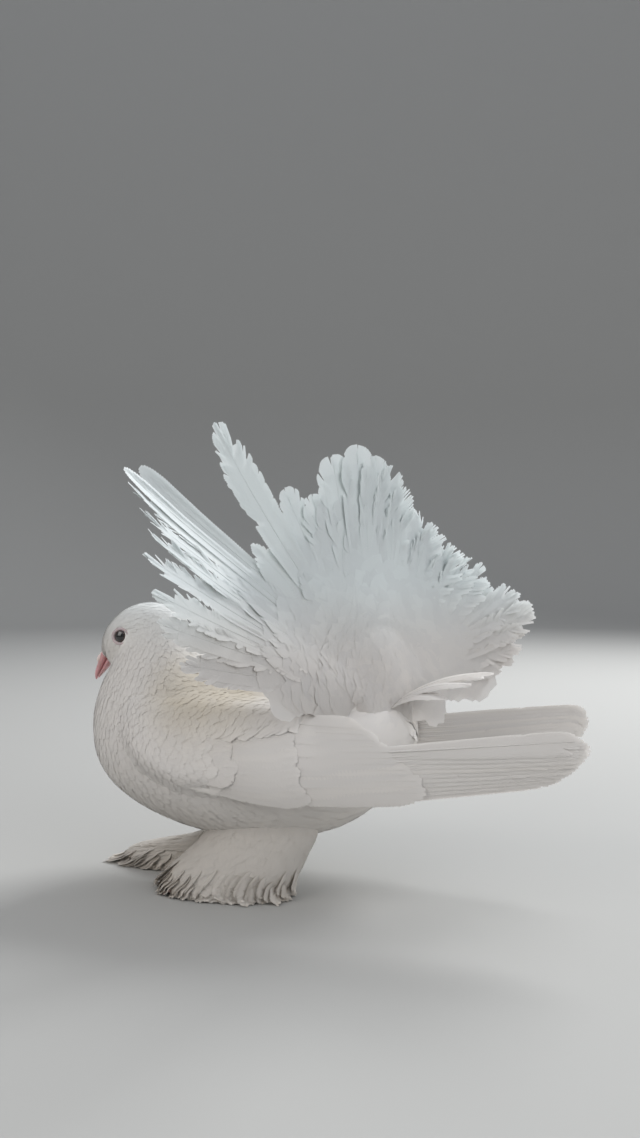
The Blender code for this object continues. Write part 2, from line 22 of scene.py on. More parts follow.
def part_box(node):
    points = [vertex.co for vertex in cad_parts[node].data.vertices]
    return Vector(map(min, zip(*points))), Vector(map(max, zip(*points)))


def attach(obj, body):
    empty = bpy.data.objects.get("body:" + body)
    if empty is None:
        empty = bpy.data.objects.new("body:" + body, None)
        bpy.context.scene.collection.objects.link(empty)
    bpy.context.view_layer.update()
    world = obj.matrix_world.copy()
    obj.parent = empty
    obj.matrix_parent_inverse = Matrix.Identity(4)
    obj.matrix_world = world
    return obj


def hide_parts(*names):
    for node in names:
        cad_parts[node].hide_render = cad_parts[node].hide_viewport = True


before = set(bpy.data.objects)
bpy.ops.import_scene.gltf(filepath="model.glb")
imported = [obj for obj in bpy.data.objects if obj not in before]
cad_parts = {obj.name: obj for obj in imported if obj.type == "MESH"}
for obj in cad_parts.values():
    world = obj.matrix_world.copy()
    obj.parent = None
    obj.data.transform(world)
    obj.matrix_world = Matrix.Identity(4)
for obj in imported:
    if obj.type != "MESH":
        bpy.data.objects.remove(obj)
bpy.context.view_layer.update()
log = logging.getLogger("fantail")

MM = 0.001
BODY = "root"
EYE_PLACE = (-70.5, 13.2, 134.2)
EYE_RADIUS = 5.1
SIDES = {"left": -1, "right": 1}
PATCH = 0.003  # across, for a small feather on the colour map

Array = np.ndarray
Draw = np.random.Generator
Socket = bpy.types.NodeSocket
Object = bpy.types.Object
BMesh = bmesh.types.BMesh


def design_shift() -> Array:
    """How far the model's frame lies from the design plane, in millimetres, from the left eye."""
    low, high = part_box("eye_left")
    x, y, z = EYE_PLACE
    return np.array((low + high) / 2) / MM - np.array((x, -y, z))


SHIFT = design_shift()


# Numbers and curves


def smooth(t: Array) -> Array:
    """A soft step from 0 to 1."""
    t = np.clip(t, 0, 1)
    return t * t * (3 - 2 * t)


def unit(v: Array) -> Array:
    """Vectors at length one."""
    return v / np.maximum(np.linalg.norm(v, axis=-1, keepdims=True), 1e-9)


def curve_rows(rows: tuple, at: Array) -> Array:
    """Rows of numbers read at fractional places on a smooth curve, straight on past its ends.

    Args:
        rows: The rows that the curve passes through.
        at: The fractional row numbers.

    Returns:
        One row of numbers for each place.
    """
    table = np.asarray(rows, float)
    last = len(table) - 1
    at = np.asarray(at, float)
    held = np.clip(at, 0, last)
    i = np.minimum(held.astype(int), last - 1)
    t = (held - i)[..., None]
    a, b, c, d = (table[np.clip(i + k, 0, last)] for k in (-1, 0, 1, 2))
    value = 0.5 * (2 * b + (c - a) * t + (2 * a - 5 * b + 4 * c - d) * t**2 + (3 * b - a - 3 * c + d) * t**3)
    past = (at - held)[..., None]
    slope = np.where(past < 0, table[1] - table[0], table[-1] - table[-2])
    return value + past * slope


def read_rows(rows: tuple, at: Array) -> list[Array]:
    """Columns of a table read at places along its first column, by straight lines.

    Args:
        rows: Rows whose first number rises.
        at: Where to read.

    Returns:
        One array for each further column.
    """
    table = np.asarray(rows, float)
    return [np.interp(at, table[:, 0], column) for column in table[:, 1:].T]


# Surfaces that feathers lie on


class Surface:
    """A smooth surface: a runs along the lie of the feathers and b across it."""

    facing = 1.0
    steps = (0.02, 0.02)

    def point(self, a: Array, b: Array) -> Array:
        """Points of the surface, in millimetres."""
        raise NotImplementedError

    def frame(self, a: Array, b: Array) -> tuple[Array, Array, Array]:
        """The surface's directions.

        Args:
            a: Places along the lie.
            b: Places across the lie.

        Returns:
            The change of place for one step of a, the same for b, and the outward normal.
        """
        da, db = self.steps
        along = (self.point(a + da, b) - self.point(a - da, b)) / (2 * da)
        across = (self.point(a, b + db) - self.point(a, b - db)) / (2 * db)
        return along, across, unit(np.cross(along, across)) * self.facing

    def below(self, a: Array, b: Array, depth: float | Array) -> Array:
        """Points that lie a depth under the surface."""
        return self.point(a, b) - self.frame(a, b)[2] * depth


@dataclass
class BodySurface(Surface):
    """Head, neck, torso and rump in one, from the bill (a = 0) to the tail's root."""

    sections: tuple = (
        (87.5, 95, 93.5, 85, 3),
        (84, 100.5, 94, 81.5, 8),
        (80, 103, 92, 80, 11),
        (70, 106, 81, 56, 24),
        (55, 107.5, 59, 37, 37),
        (38, 109, 31, 28, 46),
        (20, 111, 0, 26.5, 51.5),
        (3, 113.5, -27, 30, 54),
        (-12, 116.5, -52, 38, 53),
        (-22, 121, -73, 49.5, 48.5),
        (-29, 127.5, -86, 64, 41),
        (-34, 134, -91, 83, 33),
        (-38, 140.5, -89.5, 99, 26),
        (-42, 146, -85.5, 109.5, 21.5),
        (-47.5, 150, -82.5, 115, 19),
        (-56, 153, -83, 116, 18),
        (-65.5, 152.8, -83.3, 116.7, 17.2),
        (-74.5, 149.4, -83.6, 117.3, 15.6),
        (-82, 143.4, -83.8, 117.8, 13.2),
        (-87.2, 136.3, -84, 118.2, 10.3),
        (-89.9, 129, -84.2, 118.6, 7.4),
        (-90.4, 123.2, -84.4, 119, 4.7),
    )
    squareness: float = 2.15

    @property
    def length(self) -> float:
        """The highest a, at the tail's root."""
        return len(self.sections) - 1.0

    def point(self, a: Array, b: Array) -> Array:
        """Points of head, neck, torso and rump.

        Args:
            a: Sections back from the bill.
            b: Radians round from the back line.

        Returns:
            The points.
        """
        past = np.maximum(np.asarray(a, float) - self.length, 0)
        a = np.minimum(a, self.length) + 0.5 * np.tanh(past / 0.5)
        top_x, top_z, low_x, low_z, half = np.moveaxis(curve_rows(self.sections, self.length - a), -1, 0)
        c, s = np.cos(b), np.sin(b)
        power = 2 / self.squareness
        up, out = np.sign(c) * np.abs(c) ** power, np.sign(s) * np.abs(s) ** power
        x = (top_x + low_x) / 2 + (top_x - low_x) / 2 * up
        z = (top_z + low_z) / 2 + (top_z - low_z) / 2 * up
        return np.stack((x, half * out, z), -1)


def wing_oval(x: Array) -> tuple[Array, Array, Array]:
    """Half width, middle height and half height of the oval round which both wings fold, at x."""
    behind = smooth((x - 40) / 80)
    return 58 - 16 * smooth((x - 10) / 170), 70 + 12 * behind, 49 + 50 * behind


def wing_depth(x: Array, z: Array) -> Array:
    """How far off the middle plane a folded wing lies at x and z.

    Args:
        x: Places along the wing.
        z: Heights.

    Returns:
        The distances.
    """
    half_width, middle, half_height = wing_oval(x)
    share = np.minimum(0.92, np.abs(z - middle) / half_height)
    return half_width * np.sqrt(1 - share**2)


@dataclass
class MantleSurface(Surface):
    """Back, shoulders and wings under one coat: a is x, and b the angle off straight up."""

    body: BodySurface
    lift: tuple = (0.8, 1.2, 1.9, 2.2)  # off the wing's own surface, from the shoulder back
    sunk: float = 0.5  # below the body's own surface
    axis: float = 75.0
    start: float = -96.0
    cell: float = 3.0  # along x, on the grid that keeps the body's reach
    cells: int = 60
    turns: int = 45  # the grid's cells over half a turn
    steps: tuple = (2.0, 0.05)

    def __post_init__(self) -> None:
        """Measures the body's reach from its axis, on a grid of x and angle."""
        a, b = np.meshgrid(np.linspace(5, self.body.length, 500), np.linspace(0, math.pi, 240))
        x, y, z = np.moveaxis(self.body.point(a.ravel(), b.ravel()), -1, 0)
        place = (
            np.clip(np.round((x - self.start) / self.cell), 0, self.cells - 1).astype(int),
            np.round(np.arctan2(y, z - self.axis) / math.pi * self.turns).astype(int),
        )
        shape = (self.cells, self.turns + 1)
        total, count = np.zeros(shape), np.full(shape, 1e-6)
        np.add.at(total, place, np.hypot(y, z - self.axis))
        np.add.at(count, place, 1.0)
        self.reach = total / count

    def body_reach(self, x: Array, turn: Array) -> Array:
        """The body's own reach from the axis at x and an angle.

        Args:
            x: Places along the body.
            turn: Angles off straight up, in radians.

        Returns:
            The reach, read from the grid.
        """
        u = np.clip((x - self.start) / self.cell, 0, self.cells - 1.01)
        v = np.clip(turn / math.pi * self.turns, 0, self.turns - 0.01)
        i, j = u.astype(int), v.astype(int)
        p, q = u - i, v - j
        low = self.reach[i, j] * (1 - q) + self.reach[i, j + 1] * q
        high = self.reach[i + 1, j] * (1 - q) + self.reach[i + 1, j + 1] * q
        return low * (1 - p) + high * p

    def low_edge(self, x: Array) -> Array:
        """Height of the folded wing's lower edge."""
        return np.interp(x, (-56, -44, -20, 35), (82, 68, 57, 54))

    def point(self, a: Array, b: Array) -> Array:
        """Points of the surface: the wing's where it lies, running out into the body's round it.

        Args:
            a: Places along x.
            b: Radians off straight up, positive to the right.

        Returns:
            The points.
        """
        turn = np.abs(b)
        c, s = np.cos(turn), np.sin(turn)
        half_width, middle, half_height = wing_oval(a)
        p = (s / half_width) ** 2 + (c / half_height) ** 2
        q = c * (self.axis - middle) / half_height**2
        wing = (-q + np.sqrt(q**2 - p * (((self.axis - middle) / half_height) ** 2 - 1))) / p
        z = self.axis + wing * c
        share = smooth((z - self.low_edge(a) + 4) / 17) * smooth((112 - z) / 12)
        share = share * smooth((a + 64) / 34) * smooth((66 - a) / 26)
        body = self.body_reach(a, turn) - self.sunk
        lift = np.interp(a, (-30, 0, 20, 54), self.lift)
        far = body + share * np.maximum(wing + lift - body, 0)
        return np.stack((a, far * s * np.sign(b), self.axis + far * c), -1)


@dataclass
class LegSurface(Surface):
    """A feathered leg from the thigh down to the floor, as a stack of level rings."""

    rings: tuple  # for each level: middle x, middle y, height, half length, half width

    def point(self, a: Array, b: Array) -> Array:
        """Points at a rows down from the top and b radians round from the tail side."""
        x, y, z, half_length, half_width = np.moveaxis(curve_rows(self.rings, a), -1, 0)
        return np.stack((x + half_length * np.cos(b), y + half_width * np.sin(b), np.maximum(z, 0.5)), -1)


# Finishes


class Tint(Enum):
    """Colours of the bird; the fan's cool white and the warm cream are painted light and shade."""

    WHITE = (0.80, 0.765, 0.73)
    # painted light: the fan's brighter, bluer white stands in for the sky light and backlight falling on it
    COOL_PAINTED_LIGHT = (0.86, 0.895, 0.89)
    # painted shade: warm cream for the fan's shadow on the nape and for the shaded belly
    WARM_PAINTED_SHADE = (0.62, 0.54, 0.41)
    DUST = (0.60, 0.52, 0.42)
    SHADE = (0.52, 0.52, 0.54)
    SKIN = (0.74, 0.56, 0.52)
    BILL = (0.80, 0.38, 0.42)
    BILL_DARK = (0.55, 0.31, 0.30)
    CERE = (0.85, 0.74, 0.71)
    RING = (0.56, 0.47, 0.48)
    LEG = (0.62, 0.19, 0.17)
    CLAW = (0.50, 0.38, 0.34)

    @property
    def rgba(self) -> tuple:
        """The colour with full alpha."""
        return (*self.value, 1.0)


class NodeSheet:
    """A material's or group's nodes, with short ways to add and join them."""

    def __init__(self, tree: bpy.types.NodeTree) -> None:
        """Starts on an empty tree."""
        self.tree = tree
        tree.nodes.clear()

    def add(self, kind: str, **values: object) -> bpy.types.Node:
        """Adds a node.

        Args:
            kind: The node's type, without its ShaderNode prefix or in full.
            **values: Properties to set on it.

        Returns:
            The node.
        """
        node = self.tree.nodes.new(kind if kind.startswith("Node") else "ShaderNode" + kind)
        for key, value in values.items():
            setattr(node, key, value)
        return node

    def join(self, source: Socket, node: bpy.types.Node, socket: str | int) -> None:
        """Links an output to a node's input."""
        self.tree.links.new(source, node.inputs[socket])

    def noise(self, vector: Socket, scale: float, detail: float = 2.0) -> Socket:
        """A noise's factor.

        Args:
            vector: The coordinates.
            scale: Waves for each metre.
            detail: Octaves.

        Returns:
            The factor's socket.
        """
        node = self.add("TexNoise")
        node.inputs["Scale"].default_value = scale
        node.inputs["Detail"].default_value = detail
        self.join(vector, node, "Vector")
        return node.outputs["Fac"]

    def ramp(self, source: Socket, low: float, high: float) -> Socket:
        """A soft step of a value from 0 at low to 1 at high.

        Args:
            source: The value.
            low: Where the step begins.
            high: Where it ends.

        Returns:
            The step's socket.
        """
        node = self.add("MapRange", interpolation_type="SMOOTHSTEP")
        node.inputs["From Min"].default_value = low
        node.inputs["From Max"].default_value = high
        self.join(source, node, "Value")
        return node.outputs["Result"]

    def times(self, source: Socket, other: float | Socket) -> Socket:
        """The product of a value with a number or another value.

        Args:
            source: The value.
            other: A number or another value.

        Returns:
            The product's socket.
        """
        node = self.add("Math", operation="MULTIPLY")
        self.join(source, node, 0)
        if isinstance(other, float):
            node.inputs[1].default_value = other
        else:
            self.join(other, node, 1)
        return node.outputs["Value"]

    def mix(self, factor: Socket, first: object, second: object) -> Socket:
        """A mix of two colours.

        Args:
            factor: How much of the second shows.
            first: A colour or a colour socket.
            second: A colour or a colour socket.

        Returns:
            The colour's socket.
        """
        node = self.add("Mix", data_type="RGBA")
        self.join(factor, node, 0)
        for slot, colour in ((6, first), (7, second)):
            if isinstance(colour, tuple):
                node.inputs[slot].default_value = colour
            else:
                self.join(colour, node, slot)
        return node.outputs[2]

    def bump(self, height: Socket, strength: float, depth: float) -> Socket:
        """The normal of a bump.

        Args:
            height: Its height, from 0 to 1.
            strength: Its strength.
            depth: Its depth in metres.

        Returns:
            The normal's socket.
        """
        node = self.add("Bump")
        node.inputs["Strength"].default_value = strength
        node.inputs["Distance"].default_value = depth
        self.join(height, node, "Height")
        return node.outputs["Normal"]

    def shader(self, colour: Socket, **values: float | tuple) -> bpy.types.Node:
        """A principled shader.

        Args:
            colour: Its base colour.
            **values: Its other inputs, with _ for the spaces in their names.

        Returns:
            The shader's node.
        """
        node = self.add("BsdfPrincipled")
        self.join(colour, node, "Base Color")
        for key, value in values.items():
            node.inputs[key.replace("_", " ")].default_value = value
        return node

    def finish(self, surface: Socket) -> None:
        """Joins a shader to the material's output."""
        self.join(surface, self.add("OutputMaterial"), "Surface")


def new_material(name: str) -> tuple[bpy.types.Material, NodeSheet, Socket]:
    """A material, its empty sheet of nodes and the object coordinates on it."""
    made = bpy.data.materials.new(name)
    made.use_nodes = True
    sheet = NodeSheet(made.node_tree)
    return made, sheet, sheet.add("TexCoord").outputs["Object"]


@dataclass(frozen=True)
class PlumageAndPaintedLight:
    """The colours that skin and coat share: dust on the feet, and painted light and shade on the fan, the
    nape and the belly. Heights and distances are in metres.
    """

    clouds: float = 26.0
    fan: tuple = (0.12, 0.17)  # heights between which white turns to the fan's painted cool light
    painted_fan_shadow: tuple = (-8, -30, 105)  # middle of the fan's painted shadow between neck and wing, in design millimetres
    painted_fan_shadow_reach: tuple = (0.048, 0.014)
    painted_fan_shadow_strength: float = 1.1
    hem: tuple = (0.022, 0.0)  # heights between which dust gathers on the feet
    hem_patches: tuple = (0.35, 0.7)
    hem_dust: float = 0.3
    # painted shade: heights between which the underside turns warmer and darker
    belly: tuple = (0.075, 0.03)
    painted_belly_shade_strength: float = 0.16

    def group(self) -> bpy.types.NodeTree:
        """The colours, with their painted light and shade, as a node group, made once.

        Returns:
            A node group with a Vector input and a Colour output.
        """
        name = "plumage_and_painted_light"
        if name in bpy.data.node_groups:
            return bpy.data.node_groups[name]
        group = bpy.data.node_groups.new(name, "ShaderNodeTree")
        group.interface.new_socket("Vector", in_out="INPUT", socket_type="NodeSocketVector")
        group.interface.new_socket("Colour", in_out="OUTPUT", socket_type="NodeSocketColor")
        sheet = NodeSheet(group)
        place = sheet.add("NodeGroupInput").outputs["Vector"]
        split = sheet.add("SeparateXYZ")
        sheet.join(place, split, 0)
        height = split.outputs["Z"]
        clouds = sheet.noise(place, self.clouds)
        # painted light: the body's warmer white turns brighter and cooler up the fan, where sky light and
        # backlight fall
        colour = sheet.mix(sheet.ramp(height, *self.fan), Tint.WHITE.rgba, Tint.COOL_PAINTED_LIGHT.rgba)
        # painted shadow: a warm patch where the fan's shadow falls between neck and wing
        painted_fan_shadow = sheet.ramp(distance_from(sheet, place, self.painted_fan_shadow), *self.painted_fan_shadow_reach)
        colour = sheet.mix(sheet.times(sheet.times(painted_fan_shadow, self.painted_fan_shadow_strength), clouds), colour, Tint.WARM_PAINTED_SHADE.rgba)
        hem = sheet.times(sheet.ramp(height, *self.hem), sheet.ramp(clouds, *self.hem_patches))
        colour = sheet.mix(sheet.times(hem, self.hem_dust), colour, Tint.DUST.rgba)
        # painted shade: the belly warmer and darker towards the bottom, for its shaded underside
        belly = sheet.times(sheet.ramp(height, *self.belly), self.painted_belly_shade_strength)
        colour = sheet.mix(belly, colour, Tint.WARM_PAINTED_SHADE.rgba)
        sheet.join(colour, sheet.add("NodeGroupOutput"), "Colour")
        return group


def distance_from(sheet: NodeSheet, place: Socket, spot: tuple) -> Socket:
    """The distance from a spot.

    Args:
        sheet: The nodes.
        place: The coordinates.
        spot: The spot, in design millimetres.

    Returns:
        The distance's socket, in metres.
    """
    node = sheet.add("VectorMath", operation="DISTANCE")
    sheet.join(place, node, 0)
    node.inputs[1].default_value = tuple((np.array(spot) + SHIFT) * MM)
    return node.outputs["Value"]


@dataclass(frozen=True)
class FeatherFinish:
    """White feather: the bird's colours with their painted light and shade, a slight tone of its own, and
    light passing through.
    """

    name: str
    through: float = 0.2
    roughness: float = 0.62
    tone: float = 0.08
    grain: float = 900.0

    def make(self) -> bpy.types.Material:
        """The material, made once."""
        if self.name in bpy.data.materials:
            return bpy.data.materials[self.name]
        made, sheet, place = new_material(self.name)
        markings_and_painted_light = sheet.add("Group", node_tree=PlumageAndPaintedLight().group())
        sheet.join(place, markings_and_painted_light, "Vector")
        own = sheet.add("Attribute", attribute_name="tone").outputs["Fac"]
        shade = sheet.mix(sheet.times(own, self.tone), markings_and_painted_light.outputs["Colour"], Tint.SHADE.rgba)
        values = {"Sheen_Weight": 0.25, "Sheen_Roughness": 0.4, "Specular_IOR_Level": 0.25}
        shader = sheet.shader(shade, Roughness=self.roughness, **values)
        sheet.join(sheet.bump(sheet.noise(place, self.grain, 3.0), 0.25, 0.0002), shader, "Normal")
        surface = shader.outputs["BSDF"]
        if self.through:
            passing = sheet.add("BsdfTranslucent")
            sheet.join(shade, passing, "Color")
            blend = sheet.add("MixShader")
            blend.inputs[0].default_value = self.through
            sheet.join(surface, blend, 1)
            sheet.join(passing.outputs["BSDF"], blend, 2)
            surface = blend.outputs["Shader"]
        sheet.finish(surface)
        return made


@dataclass(frozen=True)
class HornFinish:
    """Bill, cere, claw or scaled skin: two colours in fine clouds, with a bump of scales or pores."""

    name: str
    colour: Tint
    second: Tint
    roughness: float
    scale: float = 900.0
    bump: float = 0.3
    depth: float = 0.0002
    coat: float = 0.0
    scales: bool = False

    def make(self) -> bpy.types.Material:
        """The material, made once."""
        if self.name in bpy.data.materials:
            return bpy.data.materials[self.name]
        made, sheet, place = new_material(self.name)
        if self.scales:
            cells = sheet.add("TexVoronoi", feature="DISTANCE_TO_EDGE")
            cells.inputs["Scale"].default_value = self.scale
            sheet.join(place, cells, "Vector")
            height = sheet.ramp(cells.outputs["Distance"], 0.0, 0.12)
        else:
            height = sheet.noise(place, self.scale, 4.0)
        clouds = sheet.ramp(sheet.noise(place, self.scale / 5), 0.35, 0.7)
        shader = sheet.shader(
            sheet.mix(clouds, self.colour.rgba, self.second.rgba),
            Roughness=self.roughness,
            Coat_Weight=self.coat,
            Coat_Roughness=0.15,
            Subsurface_Weight=0.15,
            Subsurface_Radius=(0.004, 0.0015, 0.001),
            Subsurface_Scale=0.4,
        )
        sheet.join(sheet.bump(height, self.bump, self.depth), shader, "Normal")
        sheet.finish(shader.outputs["BSDF"])
        return made


@dataclass(frozen=True)
class EyeFinish:
    """A wet dark eye: black in the middle, deep brown towards the rim."""

    name: str
    middle: tuple
    outward: tuple
    pupil: tuple = (0.0023, 0.0026)  # where its edge begins and ends, off the front in metres

    def make(self) -> bpy.types.Material:
        """The material, made once for each eye."""
        made, sheet, place = new_material(self.name)
        front = np.array(self.middle) + np.array(self.outward) * EYE_RADIUS
        iris = sheet.ramp(distance_from(sheet, place, tuple(front)), *self.pupil)
        fibres = sheet.noise(place, 2600.0)
        brown = sheet.mix(fibres, (0.018, 0.008, 0.006, 1), (0.05, 0.02, 0.012, 1))
        colour = sheet.mix(iris, (0.004, 0.004, 0.005, 1), brown)
        shader = sheet.shader(colour, Roughness=0.12, Coat_Weight=1.0, Coat_Roughness=0.02)
        sheet.finish(shader.outputs["BSDF"])
        return made


Finish = FeatherFinish | HornFinish | EyeFinish
BODY_FEATHER = FeatherFinish("small_feather", through=0.12, tone=0.10)
QUILL_FEATHER = FeatherFinish("wing_feather", through=0.18, tone=0.16, roughness=0.5)
FAN_FEATHER = FeatherFinish("fan_feather", through=0.38, tone=0.16, roughness=0.5)
MUFF_FEATHER = FeatherFinish("foot_feather", through=0.32, tone=0.05)
SKIN_FINISH = FeatherFinish("skin_under_feathers", through=0.0, tone=0.0, roughness=0.8)
BILL_FINISH = HornFinish("bill_horn", Tint.BILL, Tint.BILL_DARK, 0.34, 420.0, 0.25, 0.0002, 0.25)
CERE_FINISH = HornFinish("cere_skin", Tint.CERE, Tint.SKIN, 0.6, 1500.0, 0.6, 0.0003)
RING_FINISH = HornFinish("eye_ring_skin", Tint.RING, Tint.RING, 0.55, 1900.0, 0.6, 0.0003)
LEG_FINISH = HornFinish("scaled_leg", Tint.LEG, Tint.SKIN, 0.48, 620.0, 0.8, 0.0005, scales=True)
CLAW_FINISH = HornFinish("claw_horn", Tint.CLAW, Tint.BILL_DARK, 0.35, 700.0, 0.2, 0.0001)


# Meshes


@dataclass
class FeatherHeap:
    """Long feathers of one cut gathered for one joined mesh, each with a square of the colour map."""

    faces: Array
    count: int
    points: list = field(default_factory=list)
    patches: list = field(default_factory=list)
    tones: list = field(default_factory=list)

    def add(self, grown: tuple[Array, Array], index: int, tone: float) -> None:
        """Adds a feather.

        Args:
            grown: Its points and their places in its square.
            index: Which square it takes.
            tone: Its own tone, from 0 to 1.
        """
        points, spots = grown
        columns = math.ceil(math.sqrt(self.count))
        row, column = divmod(index, columns)
        self.points.append(points)
        self.patches.append((np.array((column, row)) + 0.06 + 0.88 * spots) / columns)
        self.tones.append(np.full(len(points), tone))

    def make(self, name: str, finish: FeatherFinish, nodes: tuple = ()) -> Object:
        """The joined mesh as a finished piece that stands for the nodes."""
        faces = repeat_faces(self.faces, len(self.points[0]), len(self.points))
        made = mesh_from_arrays(name, np.concatenate(self.points), faces, np.concatenate(self.patches))
        set_tones(made, np.concatenate(self.tones))
        return finish_piece(made, finish, nodes)


def repeat_faces(faces: Array, step: int, copies: int) -> Array:
    """The faces of copies that follow each other, each with step points."""
    return (faces[None] + np.arange(copies)[:, None, None] * step).reshape(-1, 4)


def set_tones(made: Object, tones: Array) -> None:
    """Gives each point the tone of its feather."""
    layer = made.data.attributes.new("tone", "FLOAT", "POINT")
    layer.data.foreach_set("value", tones.astype(np.float32))


def place_object(name: str, data: bpy.types.ID) -> Object:
    """A new object in the scene, at its origin."""
    made = bpy.data.objects.new(name, data)
    bpy.context.scene.collection.objects.link(made)
    return made


def mesh_from_arrays(
    name: str, points: Array, faces: Array, patches: Array, lean: Array | None = None
) -> Object:
    """A mesh of many small things.

    Args:
        name: The object's name.
        points: Places in design millimetres.
        faces: Four point numbers for each face.
        patches: For each point, its place on the map that colours are baked to.
        lean: For each point the way that light takes it to face, where that isn't its faces' own.

    Returns:
        The object, with its place in its mesh.
    """
    mesh = bpy.data.meshes.new(name)
    mesh.vertices.add(len(points))
    mesh.vertices.foreach_set("co", ((points + SHIFT) * MM).astype(np.float32).ravel())
    mesh.loops.add(faces.size)
    mesh.loops.foreach_set("vertex_index", faces.astype(np.int32).ravel())
    mesh.polygons.add(len(faces))
    mesh.polygons.foreach_set("loop_start", np.arange(0, faces.size, 4, dtype=np.int32))
    mesh.polygons.foreach_set("loop_total", np.full(len(faces), 4, dtype=np.int32))
    mesh.update(calc_edges=True)
    layer = mesh.uv_layers.new(name="OFBake")
    layer.uv.foreach_set("vector", patches[faces.ravel()].astype(np.float32).ravel())
    mesh.shade_smooth()
    if lean is not None:
        mesh.normals_split_custom_set_from_vertices(lean.astype(np.float32))
    return place_object(name, mesh)


def mesh_from(name: str, bm: BMesh) -> bpy.types.Mesh:
    """A smooth mesh from a bmesh, which it frees."""
    mesh = bpy.data.meshes.new(name)
    bm.to_mesh(mesh)
    bm.free()
    mesh.shade_smooth()
    return mesh


def object_from(name: str, bm: BMesh) -> Object:
    """An object from a bmesh in design millimetres, moved to the model's frame."""
    bm.transform(Matrix.Diagonal((MM, MM, MM, 1)) @ Matrix.Translation(SHIFT))
    return place_object(name, mesh_from(name, bm))


def grid_net(along: int, across: int) -> tuple[Array, Array, Array]:
    """A flat net of faces from Blender's grid.

    Args:
        along: Faces along the net.
        across: Faces across the net.

    Returns:
        For each point its share along and its share across, from 0 to 1, and the faces.
    """
    bm = bmesh.new()
    bmesh.ops.create_grid(bm, x_segments=along, y_segments=across, size=1)
    bm.verts.index_update()
    places = np.array([vert.co for vert in bm.verts])
    faces = np.array([[vert.index for vert in face.verts] for face in bm.faces])
    bm.free()
    return (places[:, 0] + 1) / 2, (places[:, 1] + 1) / 2, faces


def wrap_grid(surface: Callable, along: int, across: int) -> BMesh:
    """A closed tube: Blender's grid wrapped round by surface(share along, share across).

    Args:
        surface: Turns two arrays of shares into points.
        along: Faces along the tube.
        across: Faces round the tube.

    Returns:
        The tube, with flat ends.
    """
    bm = bmesh.new()
    bmesh.ops.create_grid(bm, x_segments=along, y_segments=across, size=1)
    places = np.array([vert.co for vert in bm.verts])
    points = surface((places[:, 0] + 1) / 2, (places[:, 1] + 1) / 2)
    for vert, point in zip(bm.verts, points):
        vert.co = point
    bmesh.ops.remove_doubles(bm, verts=bm.verts, dist=1e-4)
    rim = [edge for edge in bm.edges if edge.is_boundary]
    bmesh.ops.holes_fill(bm, edges=rim, sides=0)
    bmesh.ops.recalc_face_normals(bm, faces=bm.faces)
    return bm


def tube(path: Array, half_up: Array, half_side: Array, sides: int = 20) -> BMesh:
    """A closed tube along a path.

    Args:
        path: The middle of each ring.
        half_up: Each ring's half height.
        half_side: Each ring's half width.
        sides: Faces round the tube.

    Returns:
        The tube.
    """
    heading = unit(np.gradient(path, axis=0))
    side = unit(np.cross(heading, (0.0, 0.0, 1.0)) + np.array((0, 1e-6, 0)))
    up = np.cross(side, heading)
    count = len(path) - 1

    def place(s: Array, t: Array) -> Array:
        """Points of the tube."""
        i = np.round(s * count).astype(int)
        angle = 2 * np.pi * t
        wide = side[i] * (half_side[i] * np.cos(angle))[:, None]
        return path[i] + wide + up[i] * (half_up[i] * np.sin(angle))[:, None]

    return wrap_grid(place, count, sides)


def ball(middle: tuple, radii: tuple, turn: Matrix = Matrix(), detail: int = 24) -> BMesh:
    """An ellipsoid from Blender's sphere.

    Args:
        middle: Its middle.
        radii: Its three radii.
        turn: How it is turned.
        detail: Faces round it.

    Returns:
        The ellipsoid.
    """
    bm = bmesh.new()
    bmesh.ops.create_uvsphere(bm, u_segments=detail, v_segments=detail // 2 + 2, radius=1)
    bm.transform(Matrix.Translation(middle) @ turn @ Matrix.Diagonal((*radii, 1)))
    return bm


def merge(pieces: list[BMesh]) -> BMesh:
    """Several bmeshes in one, which frees them.

    Args:
        pieces: The bmeshes.

    Returns:
        The whole.
    """
    whole = bmesh.new()
    for piece in pieces:
        mesh = bpy.data.meshes.new("passing")
        piece.to_mesh(mesh)
        piece.free()
        whole.from_mesh(mesh)
        bpy.data.meshes.remove(mesh)
    return whole


def fuse(made: Object, voxel: float, rounds: int) -> Object:
    """Melts an object's overlapping parts into one smooth skin.

    Args:
        made: The object, with closed parts that overlap.
        voxel: Size of the melt in millimetres.
        rounds: How often it is smoothed.

    Returns:
        The same object with its new mesh.
    """
    melt = made.modifiers.new("melt", "REMESH")
    melt.mode = "VOXEL"
    melt.voxel_size = voxel * MM
    melt.use_smooth_shade = True
    soften = made.modifiers.new("soften", "SMOOTH")
    soften.factor = 0.5
    soften.iterations = rounds
    graph = bpy.context.evaluated_depsgraph_get()
    mesh = bpy.data.meshes.new_from_object(made.evaluated_get(graph))
    made.modifiers.clear()
    made.data = mesh
    mesh.shade_smooth()
    return made


def finish_piece(made: Object, finish: Finish, nodes: tuple = ()) -> Object:
    """Dresses a piece and fixes it to the body.

    Args:
        made: The piece.
        finish: Its finish.
        nodes: The solids that it stands for.

    Returns:
        The piece.
    """
    made.data.materials.clear()
    made.data.materials.append(finish.make())
    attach(made, BODY)
    if nodes:
        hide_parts(*nodes)
    log.info("%s: %d faces", made.name, len(made.data.polygons))
    return made


# Small feathers


